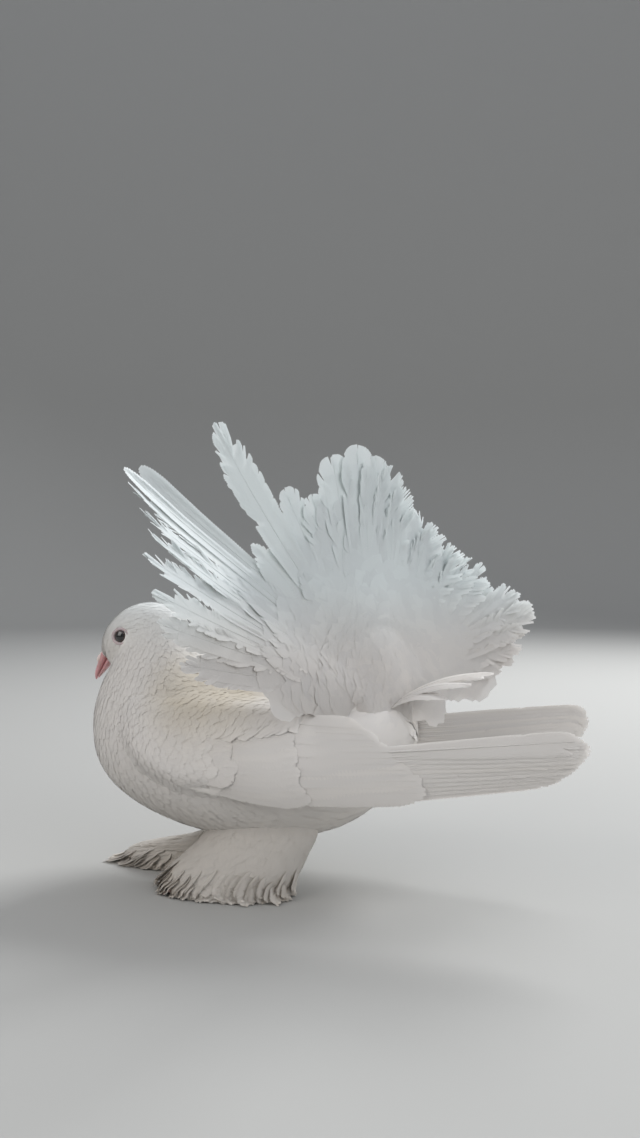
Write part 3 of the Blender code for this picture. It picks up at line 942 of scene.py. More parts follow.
@dataclass
class SmallFeather:
    """A little curved feather with a ragged tip, laid in great number along a surface."""

    along: int = 4
    across: int = 6
    ragged: float = 0.16
    kinds: int = 5
    camber: float = 0.05
    seed: int = 3

    def cut(self) -> tuple[Array, Array, Array, Array]:
        """Shapes of the kinds of feather.

        Returns:
            For each kind and point its share along and its share across, from -1 to 1, then each
            point's share of the tip's height, and the faces.
        """
        u, v, faces = grid_net(self.along, self.across)
        v = v * 2 - 1
        rng = np.random.default_rng(self.seed)
        wide = np.interp(u, (0, 0.3, 0.65, 0.85, 1), (0.45, 0.85, 1.0, 0.93, 0.74))
        column = np.round((v + 1) / 2 * self.across).astype(int)
        shares, widths = [], []
        for _ in range(self.kinds):
            nicks = rng.uniform(-1, 0.25, self.across + 1) * self.ragged
            nicks[1::2] -= self.ragged * 0.6
            reach = (1 - 0.30 * v**2) + nicks[column] * smooth((u - 0.55) / 0.45)
            shares.append(u * reach)
            widths.append(v * wide)
        return np.array(shares), np.array(widths), u, faces

    def lay(
        self,
        name: str,
        surface: Surface,
        a: Array,
        b: Array,
        length: Array,
        width: Array,
        base: float,
        rise: Array,
        patches: Array,
        finish: FeatherFinish,
        turn: float = 0.16,
    ) -> Object:
        """Lays one feather at each place.

        Args:
            name: The object's name.
            surface: What they lie on.
            a: Roots along the lie.
            b: Roots across the lie.
            length: Each feather's length in millimetres.
            width: Each feather's half width in millimetres.
            base: Height of the roots off the surface.
            rise: How far each tip stands above its root.
            patches: Each root's place on the colour map.
            finish: The feathers' finish.
            turn: How far their directions wander, in radians.

        Returns:
            The finished piece.
        """
        rng = np.random.default_rng(len(a))
        shares, widths, u, faces = self.cut()
        kind = rng.integers(0, self.kinds, len(a))
        s, w = shares[kind], widths[kind]
        angle = rng.normal(0, turn, len(a))[:, None]
        go = s * length[:, None]
        out = w * width[:, None]
        along, across, _ = surface.frame(a, b)
        step_a = np.linalg.norm(along, axis=-1)[:, None]
        step_b = np.linalg.norm(across, axis=-1)[:, None]
        at_a = a[:, None] + (go * np.cos(angle) - out * np.sin(angle)) / step_a
        at_b = b[:, None] + (go * np.sin(angle) + out * np.cos(angle)) / step_b
        points = surface.point(at_a, at_b)
        _, _, normal = surface.frame(at_a, at_b)
        height = base + rise[:, None] * u[None] ** 1.1 - self.camber * w**2 * width[:, None]
        height = height + rng.normal(0, 0.03, len(a))[:, None]
        points = points + normal * height[..., None]
        count = len(u)
        faces = repeat_faces(faces if surface.facing > 0 else faces[:, ::-1], count, len(a))
        uv = patches[:, None] + np.stack((s - 0.5, w / 2), -1) * PATCH
        made = mesh_from_arrays(name, points.reshape(-1, 3), faces, uv.reshape(-1, 2), normal.reshape(-1, 3))
        set_tones(made, np.repeat(rng.uniform(0, 1, len(a)), count))
        return finish_piece(made, finish)


def scatter(
    surface: Surface, span_a: tuple, span_b: tuple, spacing: Callable, seed: int, tries: int = 60000
) -> tuple[Array, Array]:
    """Roots spread evenly over a surface, closer where the spacing is less.

    Args:
        surface: The surface.
        span_a: Lowest and highest a.
        span_b: Lowest and highest b.
        spacing: Gives the distance between roots from their a.
        seed: Of the random draw.
        tries: How many places are tried.

    Returns:
        The roots' a and b.
    """
    rng = np.random.default_rng(seed)
    a, b = rng.uniform(*span_a, tries), rng.uniform(*span_b, tries)
    along, across, _ = surface.frame(a, b)
    area = np.linalg.norm(np.cross(along, across), axis=-1)
    points = surface.point(a, b)
    apart = spacing(a)
    weight = area / np.maximum(apart, 0.1) ** 2
    keep = rng.uniform(0, 1, tries) < weight / np.percentile(weight, 98)
    a, b, points, apart = a[keep], b[keep], points[keep], apart[keep]
    tree = KDTree(len(a))
    for i, point in enumerate(points):
        tree.insert(point, i)
    tree.balance()
    free = np.ones(len(a), bool)
    chosen = []
    for i, point in enumerate(points):
        if free[i]:
            chosen.append(i)
            for _, other, _ in tree.find_range(point, float(apart[i])):
                free[other] = False
    return a[chosen], b[chosen]


# Long feathers


@dataclass
class Spine:
    """The way a long feather runs, as points with the directions there."""

    middle: Array
    heading: Array
    side: Array
    normal: Array
    length: float

    @classmethod
    def along(cls, path: Array, side: Array, louvre: float = 0.0) -> "Spine":
        """A spine through a path's points.

        Args:
            path: Points from root to tip.
            side: The way that the feather's width runs at each point.
            louvre: How far its flat is turned about the path, in degrees.

        Returns:
            The spine.
        """
        heading = unit(np.gradient(path, axis=0))
        side = unit(side - heading * np.sum(side * heading, -1, keepdims=True))
        normal = np.cross(heading, side)
        c, s = math.cos(math.radians(louvre)), math.sin(math.radians(louvre))
        side, normal = side * c + normal * s, normal * c - side * s
        length = float(np.linalg.norm(np.diff(path, axis=0), axis=1).sum())
        return cls(path, heading, side, normal, length)

    def read(self, share: Array) -> tuple[Array, Array, Array, Array]:
        """Middle, heading, side and normal at shares of the way."""
        last = len(self.middle) - 1
        at = np.clip(share, 0, 1) * last
        i = np.minimum(at.astype(int), last - 1)
        t = (at - i)[..., None]
        rows = (self.middle, self.heading, self.side, self.normal)
        return tuple(row[i] * (1 - t) + row[i + 1] * t for row in rows)


@dataclass(frozen=True)
class Vane:
    """How one kind of long feather is cut into barbs."""

    half_width: float
    barbs: int = 60  # on each side
    # Shares of the length with the half width there, as a share of the widest.
    outline: tuple = ((0, 0.3), (0.3, 0.55), (0.6, 0.86), (0.8, 1.0), (1, 0.95))
    round_tip: float = 0.13
    outer: float = 1.0  # width of the side away from the body, as a share of the other's
    bare: float = 0.06  # share of the stem without barbs
    fray: float = 0.15
    clump: float = 4.0  # barbs that hang together
    splits: int = 1
    gap: float = 0.02  # width of a split, as a share of the outline
    curl: float = 0.0  # how far the tips of the outer barbs stand up
    camber: float = 0.10
    web: float = 0.72  # width of the closed middle, as a share of the vane's
    lobed: float = 0.0  # 0 for spiky clumps, 1 for round webbed lobes
    stem: float = 0.8
    steps: int = 4
    last_barb: float = 0.93  # share of the length where the last barb leaves the stem
    bend: tuple = (0.62, 0.28)  # where a barb bends, as shares of its way out and its way ahead
    overlap: float = 0.66  # half width of a barb, as a share of the room between two
    net: tuple = (12, 4)  # faces along and across the web, and along and round the stem

    def edge(self, sign: int) -> tuple[Array, Array]:
        """The feather's outline on one side.

        Args:
            sign: Which side, -1 or 1.

        Returns:
            Shares of the length, and the half widths there.
        """
        share = np.linspace(self.bare, 1, 160)
        wide = read_rows(self.outline, share)[0] * self.half_width * (self.outer if sign > 0 else 1)
        tip = np.clip((share - 1 + self.round_tip) / self.round_tip, 0, 1)
        return share, wide * np.sqrt(np.maximum(1 - tip**2, 0))

    def faces(self) -> Array:
        """The faces of barbs, web and stem, in the order of their points."""
        ribbon = np.array([(2 * k, 2 * k + 1, 2 * k + 3, 2 * k + 2) for k in range(self.steps - 1)])
        rows, sides = self.net
        barbs = repeat_faces(ribbon, 2 * self.steps, 2 * self.barbs)
        web = grid_net(rows, sides)[2] + 4 * self.barbs * self.steps
        ring = np.array([(j, (j + 1) % sides, (j + 1) % sides + sides, j + sides) for j in range(sides)])
        stem = repeat_faces(ring, sides, rows) + 4 * self.barbs * self.steps + (rows + 1) * (sides + 1)
        return np.concatenate((barbs, web, stem))

    def grow(self, spine: Spine, rng: Draw, fray: float = 1.0) -> tuple[Array, Array]:
        """One feather on its spine.

        Args:
            spine: The feather's way.
            rng: The random draw.
            fray: How ragged it is, against the kind's own fray.

        Returns:
            Its points, and for each its place in a patch of the colour map, 0 to 1 both ways.
        """
        ragged = self.fray * fray
        parts, places = zip(*(self.barb_side(spine, rng, sign, ragged) for sign in (-1, 1)))
        rows, sides = self.net
        u, v, _ = grid_net(rows, sides)
        share = np.linspace(0, 0.97, rows + 1)
        middle, _, side, normal = spine.read(share)
        side, normal = (way * (self.stem * (1 - 0.85 * share))[:, None] for way in (side, normal))
        stem = np.stack((middle + side, middle + normal, middle - side, middle - normal), 1).reshape(-1, 3)
        on_stem = np.stack((np.repeat(share, sides), np.full(len(stem), 0.5)), -1)
        on_web = np.stack((u, 0.15 + 0.7 * v), -1)
        points = np.concatenate((*parts, self.web_sheet(spine, ragged), stem))
        return points, np.concatenate((*places, on_web, on_stem))

    def barb_side(self, spine: Spine, rng: Draw, sign: int, ragged: float) -> tuple[Array, Array]:
        """The barbs of one side, as ribbons from the stem to the outline.

        Args:
            spine: The feather's way.
            rng: The random draw.
            sign: Which side, -1 or 1.
            ragged: How ragged the outline is.

        Returns:
            The ribbons' points and their places in the patch.
        """
        share, wide = self.edge(sign)
        run = np.concatenate(([0], np.cumsum(np.hypot(np.diff(share) * spine.length, np.diff(wide)))))
        run /= run[-1]
        order = (np.arange(self.barbs) + 0.5) / self.barbs
        outer = smooth((order - 0.45) / 0.4)
        ends, reach, lift = self.tear(order, outer, rng, ragged)
        root = self.bare + (self.last_barb - self.bare) * order
        tip_share = np.interp(ends, run, share)
        tip_wide = np.interp(ends, run, wide)
        start, heading, side, normal = spine.read(root)
        end_middle, _, end_side, _ = spine.read(tip_share)
        tip = end_middle + end_side * (sign * tip_wide)[:, None]
        tip = start + (tip - start) * reach[:, None]
        way = tip - start
        out, ahead = (np.sum(way * direction, -1)[:, None] for direction in (side, heading))
        bend = start + side * (out * self.bend[0]) + heading * (ahead * self.bend[1])
        q = np.linspace(0, 1, self.steps)[None, :, None]
        line = (1 - q) ** 2 * start[:, None] + 2 * q * (1 - q) * bend[:, None] + q**2 * tip[:, None]
        far = np.linalg.norm(way, axis=-1)
        q = q[..., 0]
        drop = -self.camber * (far[:, None] * q**2) + lift[:, None] * q**2
        drop = drop + self.curl * rng.uniform(0.4, 1.4, self.barbs)[:, None] * outer[:, None] * q**3
        line = line + normal[:, None] * drop[..., None]
        flat = unit(np.cross(normal[:, None], unit(np.gradient(line, axis=1))) + normal[:, None] * 0.07)
        root_gap = spine.length * (self.last_barb - self.bare) / self.barbs
        edge_gap = (spine.length + self.half_width) / self.barbs
        thin = 1 - 0.75 * (1 - self.lobed) * np.clip(ragged * 1.5, 0, 1) * outer[:, None] * q**1.5
        cut = np.where(q > 0.99, 0.45 + 0.45 * self.lobed, 1)
        half = (root_gap + (edge_gap - root_gap) * q) * self.overlap * thin * cut
        points = np.stack((line - flat * half[..., None], line + flat * half[..., None]), 2)
        along = root[:, None] + (tip_share - root)[:, None] * q
        spots = np.stack((along, 0.5 + sign * 0.45 * q * (tip_wide / self.half_width)[:, None]), -1)
        return points.reshape(-1, 3), np.repeat(spots.reshape(-1, 2), 2, axis=0)

    def tear(self, order: Array, outer: Array, rng: Draw, ragged: float) -> tuple[Array, Array, Array]:
        """How splits and clumps draw the barbs of one side.

        Args:
            order: Each barb's share of the way along the side.
            outer: How much of the fraying each barb takes.
            rng: The random draw.
            ragged: How ragged the outline is.

        Returns:
            Each barb's end as a share of the outline, its share of the full reach, and its lift.
        """
        ends = order.copy()
        for _ in range(self.splits):
            spot = rng.uniform(0.35, 0.97)
            wedge = self.gap * rng.uniform(0.5, 1.6) * (0.4 + ragged * 2)
            ends += wedge * np.sign(order - spot) * np.exp(-np.abs(order - spot) / 0.09)
        number = np.arange(self.barbs)
        cuts = np.cumsum(rng.uniform(0.4, 1.6, self.barbs) * self.clump)
        clump = np.searchsorted(cuts, number)
        clumps = clump.max() + 1
        middles = np.array([ends[clump == c].mean() if np.any(clump == c) else 0 for c in range(clumps)])
        pull = np.clip(ragged * 1.3, 0, 0.8) * outer * (1 - 0.85 * self.lobed)
        ends = np.clip(ends + (middles[clump] - ends) * pull, 0.01, 1.0)
        short = rng.uniform(0, 1, clumps) ** 2 * ragged * 0.9
        starts = np.concatenate(([0.0], cuts))
        spot = (number - starts[clump]) / np.maximum(starts[clump + 1] - starts[clump], 1) * 2 - 1
        dip = short[clump] * (1 - 0.4 * self.lobed) + self.lobed * 0.55 * ragged * spot**2
        reach = 1 - (dip + rng.uniform(0, 0.10, self.barbs) * ragged * (1 - self.lobed)) * outer
        return ends, reach, rng.normal(0, 1, clumps)[clump] * ragged * 2.2 * outer

    def web_sheet(self, spine: Spine, ragged: float) -> Array:
        """The closed middle of the vane, just under the barbs.

        Args:
            spine: The feather's way.
            ragged: How ragged it is.

        Returns:
            The points of its net.
        """
        u, v, _ = grid_net(*self.net)
        share = self.bare + (0.9 - self.bare) * u
        across = v * 2 - 1
        wide = np.where(across > 0, np.interp(share, *self.edge(1)), np.interp(share, *self.edge(-1)))
        keep = self.web * (1 - 0.35 * ragged * smooth((u - 0.5) / 0.5))
        middle, _, side, normal = spine.read(share)
        off = across * wide * keep
        sink = -0.12 - self.camber * off**2 / self.half_width
        return middle + side * off[:, None] + normal * sink[:, None]


# The bird's parts


@dataclass
class Skin:
    """One closed skin under the feathers of body, wings, fan and legs."""

    depth: float = 0.65  # of the coat over it
    voxel: float = 1.5
    # Along the folded wing: x, bottom and top of its flesh.
    wing_rows: tuple = (
        (-30, 68, 94), (-12, 60, 102), (12, 57, 102), (35, 56, 101), (70, 62, 93), (86, 68, 86),
    )

    def build(self, body: BodySurface, legs: list["Leg"], fan: "Fan") -> Object:
        """The skin.

        Args:
            body: The body's surface.
            legs: Both legs.
            fan: The tail fan.

        Returns:
            The finished piece.
        """

        mantle = MantleSurface(body, (-1.6, -1.6, -1.6, -1.6), 1.3)

        def trunk(s: Array, t: Array) -> Array:
            """The body's surface, sunk by the coat's depth."""
            return body.below(s * body.length, t * 2 * np.pi, self.depth)

        def back(s: Array, t: Array) -> Array:
            """Body and wings' roots as one, sunk by the coat's depth."""
            return mantle.below(-56 + 118 * s, 2 * np.pi * t - np.pi, self.depth)

        parts = [wrap_grid(trunk, 120, 96), wrap_grid(back, 90, 96)]
        for sign in SIDES.values():
            parts.append(self.wing_core(sign))
        for leg in legs:
            parts.append(leg.core(self.depth))
        parts += [self.fan_core(fan), self.root_core(fan)]
        skin = fuse(object_from("skin", merge(parts)), self.voxel, 6)
        nodes = ("head", "neck", "torso", "rump", "leg_left", "leg_right")
        return finish_piece(skin, SKIN_FINISH, nodes)

    def fan_core(self, fan: "Fan") -> BMesh:
        """The flesh that the fan's feathers stand in, a half ring that follows the dish.

        Args:
            fan: The tail fan.

        Returns:
            The closed ring.
        """
        front, back = FanSurface(fan, 1), FanSurface(fan, -1)

        def place(s: Array, t: Array) -> Array:
            """Points round the ring's section, 6 to 48 mm off the fan's root."""
            return self.between(front, back, (27 + 21 * np.cos(2 * np.pi * t), 3 + 175 * s), 0.42, t)

        return wrap_grid(place, 60, 24)

    def root_core(self, fan: "Fan") -> BMesh:
        """The flesh between rump and fan, which fills what lies between its two faces.

        Args:
            fan: The tail fan.

        Returns:
            The closed body.
        """
        front, back = FanRootSurface(fan, 1), FanRootSurface(fan, -1)

        def place(s: Array, t: Array) -> Array:
            """Points round the root's section."""
            return self.between(front, back, (0.5 + 0.5 * np.cos(2 * np.pi * t), -7 + 203 * s), 0.45, t)

        return wrap_grid(place, 60, 32)

    def between(self, front: Surface, back: Surface, at: tuple, deep: float, t: Array) -> Array:
        """Points of a section between two surfaces.

        Args:
            front: The one surface.
            back: The other.
            at: Places a and b on both.
            deep: How near the section comes to them, at most 0.5.
            t: Shares of the way round the section.

        Returns:
            The points.
        """
        share = 0.5 + deep * np.sin(2 * np.pi * t)[:, None]
        return front.point(*at) * share + back.point(*at) * (1 - share)

    def wing_core(self, sign: int) -> BMesh:
        """The flesh of a folded wing, a flat closed body under its feathers.

        Args:
            sign: -1 on the left and 1 on the right.

        Returns:
            The closed body.
        """
        rows = self.wing_rows

        def place(s: Array, t: Array) -> Array:
            """Points round the wing's flat section."""
            x, low, high = np.moveaxis(curve_rows(rows, s * (len(rows) - 1)), -1, 0)
            angle = 2 * np.pi * t
            z = (low + high) / 2 + (high - low) / 2 * np.cos(angle)
            y = wing_depth(x, z) - 2.2 + 2.0 * np.sin(angle) * sign
            return np.stack((x, sign * y, z), -1)

        return wrap_grid(place, 40, 32)


@dataclass
class Coat:
    """The small feathers of head, neck, breast, belly, back and rump."""

    body: BodySurface
    base: float = -0.42
    spans: tuple = (("head", 0.15, 7.0), ("neck", 7.0, 10.2), ("breast", 10.2, 13.5), ("back", 13.5, 19.8))
    bare_eye: float = 6.9  # how far off the eye's middle the feathers begin
    # From the bill back to the tail: a, length of the feathers, rise of their tips.
    lie: tuple = (
        (0, 2.6, 0.14), (2, 3.4, 0.18), (5, 4.8, 0.24), (7.5, 6.5, 0.315), (9, 8.3, 0.36),
        (10, 9.5, 0.38), (13, 11.5, 0.44), (17, 13, 0.5), (19, 14, 0.45),
    )

    def length_at(self, a: Array) -> Array:
        """Length of the small feathers."""
        return read_rows(self.lie, a)[0]

    def spacing(self, a: Array) -> Array:
        """Distance between roots."""
        return self.length_at(a) * np.interp(a, (0, 6, 12, 19), (0.36, 0.32, 0.30, 0.30))

    def build(self) -> list[Object]:
        """The coat in a few pieces.

        Returns:
            The finished pieces.
        """
        made = []
        for k, (name, first, last) in enumerate(self.spans):
            a, b = scatter(self.body, (first, last), (-math.pi, math.pi), self.spacing, 21 + k)
            keep = self.clear_of_face(a, b) & self.clear_of_wings(a, b)
            a, b = a[keep], b[keep]
            length, rise = read_rows(self.lie, a)
            patches = np.stack((0.02 + 0.96 * a / 21, 0.5 + 0.96 * b / (2 * math.pi)), -1)
            small = SmallFeather(3, 4, 0.14) if name == "head" else SmallFeather(3, 6, 0.11)
            sizes = (length, length * 0.38, self.base, rise)
            made.append(small.lay("coat_" + name, self.body, a, b, *sizes, patches, BODY_FEATHER, 0.09))
        return [*made, self.mantle()]

    def mantle(self) -> Object:
        """The small feathers over shoulders and scapulars, from the back out onto the wings."""
        surface = MantleSurface(self.body)
        a, b = scatter(surface, (-64, 54), (-2.2, 2.2), lambda a: np.interp(a, (-64, -10), (2.5, 3.1)), 70)
        z = surface.point(a, b)[..., 2]
        hem = np.interp(z, (88, 100), (-9, 54)) + 3 * np.sin(b * 23) + 2 * np.sin(b * 61)
        keep = (z > surface.low_edge(a) - 3) & (a < hem) & (np.abs(b) > 0.2)
        a, b = a[keep], b[keep]
        length = np.interp(a, (-64, -10, 54), (8.5, 12.5, 19))
        sizes = (length, length * 0.4, self.base + 0.1, np.interp(a, (-64, -10), (0.4, 0.5)))
        patches = np.stack((0.05 + 0.9 * (a + 64) / 118, 0.5 + 0.42 * b / 2.2), -1)
        small = SmallFeather(3, 6, 0.11)
        return small.lay("coat_mantle", surface, a, b, *sizes, patches, BODY_FEATHER, 0.1)

    def clear_of_face(self, a: Array, b: Array) -> Array:
        """Which places are away from the eyes.

        Args:
            a: Places along the body.
            b: Places round it.

        Returns:
            True for those away from the eyes.
        """
        points = self.body.point(a, b)
        x, y, z = EYE_PLACE
        eye = np.linalg.norm(np.abs(points) * (0, 1, 0) + points * (1, 0, 1) - (x, y, z), axis=-1)
        return eye > self.bare_eye

    def clear_of_wings(self, a: Array, b: Array) -> Array:
        """Which places aren't deep under a folded wing, where no feather shows.

        Args:
            a: Places along the body.
            b: Places round it.

        Returns:
            False for those deep under a wing.
        """
        x, y, z = np.moveaxis(self.body.point(a, b), -1, 0)
        inner = (x > -36) & (x < 26) & (z > 66) & (z < 92) & (np.abs(y) > 20)
        return ~inner


@dataclass
class QuillRow:
    """A row of long wing feathers, the lowest first."""

    name: str
    count: int
    root_low: tuple  # x and z of the lowest feather's root
    root_high: tuple
    tip_low: tuple
    tip_high: tuple
    bow: float  # how far the tips of the middle feathers reach past a straight line
    lift_root: float  # off the wing's surface
    lift_tip: float
    louvre: float  # degrees that each feather is turned about its length
    vane: Vane
    pitch: float = 0.0  # how much further out each feather lies than the one below it

    def spines(self, sign: int, rng: Draw) -> list[Spine]:
        """The feathers' spines on one side of the bird.

        Args:
            sign: -1 on the left and 1 on the right.
            rng: The random draw.

        Returns:
            The spines from the lowest feather up.
        """
        made = []
        along = np.linspace(0, 1, 25)
        rise = smooth(along * 1.5)
        for k in range(self.count):
            share = k / (self.count - 1)
            root = np.array(self.root_low) * (1 - share) + np.array(self.root_high) * share
            tip = np.array(self.tip_low) * (1 - share) + np.array(self.tip_high) * share
            tip = tip + (self.bow * 4 * share * (1 - share) + rng.uniform(-2.4, 2.4), 0)
            x = root[0] + (tip[0] - root[0]) * along
            z = root[1] + (tip[1] - root[1]) * along
            layer = self.pitch * (k - (self.count - 1) / 2)
            depth = wing_depth(x, z) + self.lift_root + (self.lift_tip - self.lift_root) * rise + layer * rise
            path = np.stack((x, sign * depth, z), -1)
            slope = wing_depth(x, z + 1.5) - wing_depth(x, z - 1.5)
            side = np.stack((np.zeros(25), sign * slope, np.full(25, 3.0)), -1)
            made.append(Spine.along(path, side, self.louvre * sign))
        return made


@dataclass
class Wing:
    """A folded wing: its quills and the coverts over them."""

    side_name: str

    def rows(self) -> list[QuillRow]:
        """The rows of long feathers, from the inside out."""
        long_edge = ((0, 0.3), (0.3, 0.55), (0.6, 0.84), (0.85, 1), (1, 0.95))
        quill = Vane(6.6, 64, long_edge, 0.07, 0.7, fray=0.04, web=0.85)
        mid_edge = ((0, 0.45), (0.4, 0.85), (0.8, 1), (1, 0.95))
        middling = Vane(6.8, 44, mid_edge, 0.16, 0.9, fray=0.03, web=0.88, stem=0.35)
        small_edge = ((0, 0.5), (0.4, 0.9), (0.8, 1), (1, 0.9))
        small = Vane(6.0, 30, small_edge, 0.26, 0.95, fray=0.03, web=0.88, stem=0.22)
        return [
            QuillRow("primary", 10, (58, 57), (62, 82), (168, 77), (180, 93), 4, -0.6, 0.2, 2, quill, 0.75),
            QuillRow("secondary", 12, (2, 60), (8, 96), (108, 66), (76, 95), 2, -3.0, 1.2, 3, middling),
            QuillRow("greater", 12, (-6, 64), (-12, 93), (50, 60), (38, 96), 2, -1.8, 1.3, 3, small),
            QuillRow("median", 11, (-18, 72), (-26, 90), (14, 69), (4, 94), 3, -2.8, 1.0, 3, small),
        ]

    def build(self) -> list[Object]:
        """The wing's pieces.

        Returns:
            The finished pieces.
        """
        sign = SIDES[self.side_name]
        rng = np.random.default_rng(50 + sign)
        made = []
        for row in self.rows():
            heap = FeatherHeap(row.vane.faces(), row.count)
            for k, spine in enumerate(row.spines(sign, rng)):
                heap.add(row.vane.grow(spine, rng), k, rng.uniform(0, 1))
            nodes = ("wing_" + self.side_name,) if row.name == "primary" else ()
            made.append(heap.make(f"{row.name}_feathers_{self.side_name}", QUILL_FEATHER, nodes))
        return made


@dataclass
class Fan:
    """The raised tail: long frayed feathers in a dish, and rows of coverts before and behind."""

    root: tuple = (72.0, 0.0, 107.0)
    # Angle up from the left side, forward sweep, length, how far the root lies below the tip's angle.
    profile: tuple = (
        (11.72, 26, 136, 1.5),
        (17, 25, 149, 2),
        (22, 25, 156, 3),
        (34, 28, 166, 4),
        (40, 31, 163, 3),
        (46, 33, 175, 3),
        (53, 34, 170, 2),
        (63, 23, 168, 9),
        (69, 19, 119, 6),
        (76, 13, 110, 3),
        (80, 9, 124, 2),
        (86, 4, 133, 1),
        (93, 0, 127, 0),
        (110, -6, 110, -3),
        (128, -14, 107, -5),
        (147, -24, 121, -5),
        (160, -32, 138, -4),
        (172, -34, 112, -2),
    )
    # Angle, raggedness, curl, barbs in a clump, splits, half width, how pointed, how lobed.
    cuts: tuple = (
        (12, 1.5, 0.8, 6, 3, 8.5, 0.5, 0.3),
        (22, 1.5, 0.5, 6, 4, 8.5, 0.5, 0.2),
        (46, 2.2, 0.3, 5, 5, 8.0, 0.6, 0.1),
        (49, 0.12, 0.1, 20, 0, 4.6, 0.1, 1.0),
        (55, 0.12, 0.1, 20, 0, 4.6, 0.1, 1.0),
        (63, 1.2, 0.2, 6, 2, 10.0, 0.3, 0.3),
        (80, 1.2, 0.3, 7, 2, 12.5, 0.1, 0.5),
        (87, 0.5, 0.3, 12, 1, 13.5, 0.0, 0.8),
        (94, 0.8, 0.6, 9, 2, 13.0, 0.0, 0.7),
        (110, 1.9, 2.4, 9, 3, 12.5, 0.0, 0.8),
        (147, 2.1, 3.0, 9, 3, 12.5, 0.0, 0.8),
        (172, 1.1, 1.2, 9, 2, 10.5, 0.1, 0.8),
    )
    feathers: int = 29
    missing: float = 57.5
    forked: float = 51.8
    louvre: float = 2.0
    coverts_count: int = 26
    coverts_reach: float = 86.0
    points: int = 25  # along a feather's spine

    def ends(self) -> tuple[float, float]:
        """The angles of the first and the last feather."""
        return self.profile[0][0], self.profile[-1][0]

    def read(self, angle: Array) -> list[Array]:
        """Sweep, length and the root's curl at an angle."""
        return read_rows(self.profile, angle)

    def place(self, angle: Array, share: Array, length: float) -> Array:
        """Points on the fan's dish.

        Args:
            angle: Degrees up from the left side.
            share: Share of the length out from the root.
            length: The length.

        Returns:
            The points.
        """
        sweep, full, curl = self.read(angle)
        calm = np.mean([self.read(angle + step) for step in (-16, -8, 0, 8, 16)], axis=0)
        own = smooth(share * length / 110 - 0.35)
        sweep, curl = calm[0] + (sweep - calm[0]) * own, calm[2] + (curl - calm[2]) * own
        turn = np.radians(angle - curl * np.maximum(1 - share * length / full, 0))
        lean = -np.tan(np.radians(sweep))
        direction = unit(np.stack(np.broadcast_arrays(lean, -np.cos(turn), np.sin(turn)), -1))
        return np.array(self.root) + direction * (np.asarray(length) * share)[..., None]

    def spine(self, angle: float, start: float, length: float, lift: float = 0.0) -> Spine:
        """One feather's spine.

        Args:
            angle: Degrees up from the left side.
            start: Share of the length where it starts.
            length: The feather's reach from the fan's root.
            lift: How far it stands off the dish, forwards if positive.

        Returns:
            The spine.
        """
        along = np.linspace(0, 1, self.points)
        share = start + (1 - start) * along
        before, path, after = (self.place(np.full(self.points, angle + k), share, length) for k in (-5, 0, 5))
        side = after - before
        level = np.hypot(side[:, 1], side[:, 2])
        side[:, 0] = np.clip(side[:, 0], -0.9 * level, 0.9 * level)
        normal = unit(np.cross(path - np.array(self.root), side))
        path = path + normal * (lift * smooth(along * 1.8))[:, None]
        side = side if lift >= 0 else -side
        turn = self.louvre * max(-1.0, min(1.0, (90 - angle) / 8))
        return Spine.along(path, side, turn)

    def build(self) -> list[Object]:
        """The fan's pieces.

        Returns:
            The finished pieces.
        """
        rng = np.random.default_rng(11)
        first, last = self.ends()
        heap = FeatherHeap(Vane(10, 96).faces(), self.feathers)
        for k in range(self.feathers):
            angle = first + (last - first) * k / (self.feathers - 1)
            if abs(angle - self.missing) < 2:
                continue
            fork = abs(angle - self.forked) < 1
            for turn in (-3.4, 0.9) if fork else (rng.uniform(-0.5, 0.5),):
                length = float(self.read(np.array(angle))[1])
                length *= rng.uniform(0.98, 1.03) + (0.02 if fork else 0)
                vane, ragged = self.vane(angle, rng)
                grown = vane.grow(self.spine(angle + turn, 0.16, length), rng, ragged)
                heap.add(grown, k, rng.uniform(0, 1))
        made = [heap.make("fan_feathers", FAN_FEATHER, ("tail_fan",))]
        for name, sign in (("front", 1), ("back", -1)):
            made.append(self.coverts(rng, "fan_coverts_" + name, 0.9 * sign))
            made.append(self.root_coverts("root_coverts_" + name, sign))
            made.append(self.skirt("coat_fan_" + name, sign))
        return [*made, self.root_feathers()]

    def vane(self, angle: float, rng: Draw) -> tuple[Vane, float]:
        """How the feather at an angle is cut, and how ragged it is.

        Args:
            angle: Degrees up from the left side.
            rng: The random draw.

        Returns:
            The cut and the raggedness.
        """
        row = (float(value) for value in read_rows(self.cuts, np.array(angle)))
        ragged, curl, clump, splits, half, pointed, lobed = row
        outline = ((0, 0.25), (0.3, 0.52), (0.6, 0.84), (0.8, 1 - 0.12 * pointed), (1, 0.95 - 0.65 * pointed))
        cut = Vane(
            half, 96, outline, 0.1, fray=0.2, clump=clump, splits=round(splits), gap=0.035,
            curl=curl * 1.5 * rng.choice((-1, 1)), camber=0.05, web=0.72, lobed=lobed,
        )
        return cut, ragged

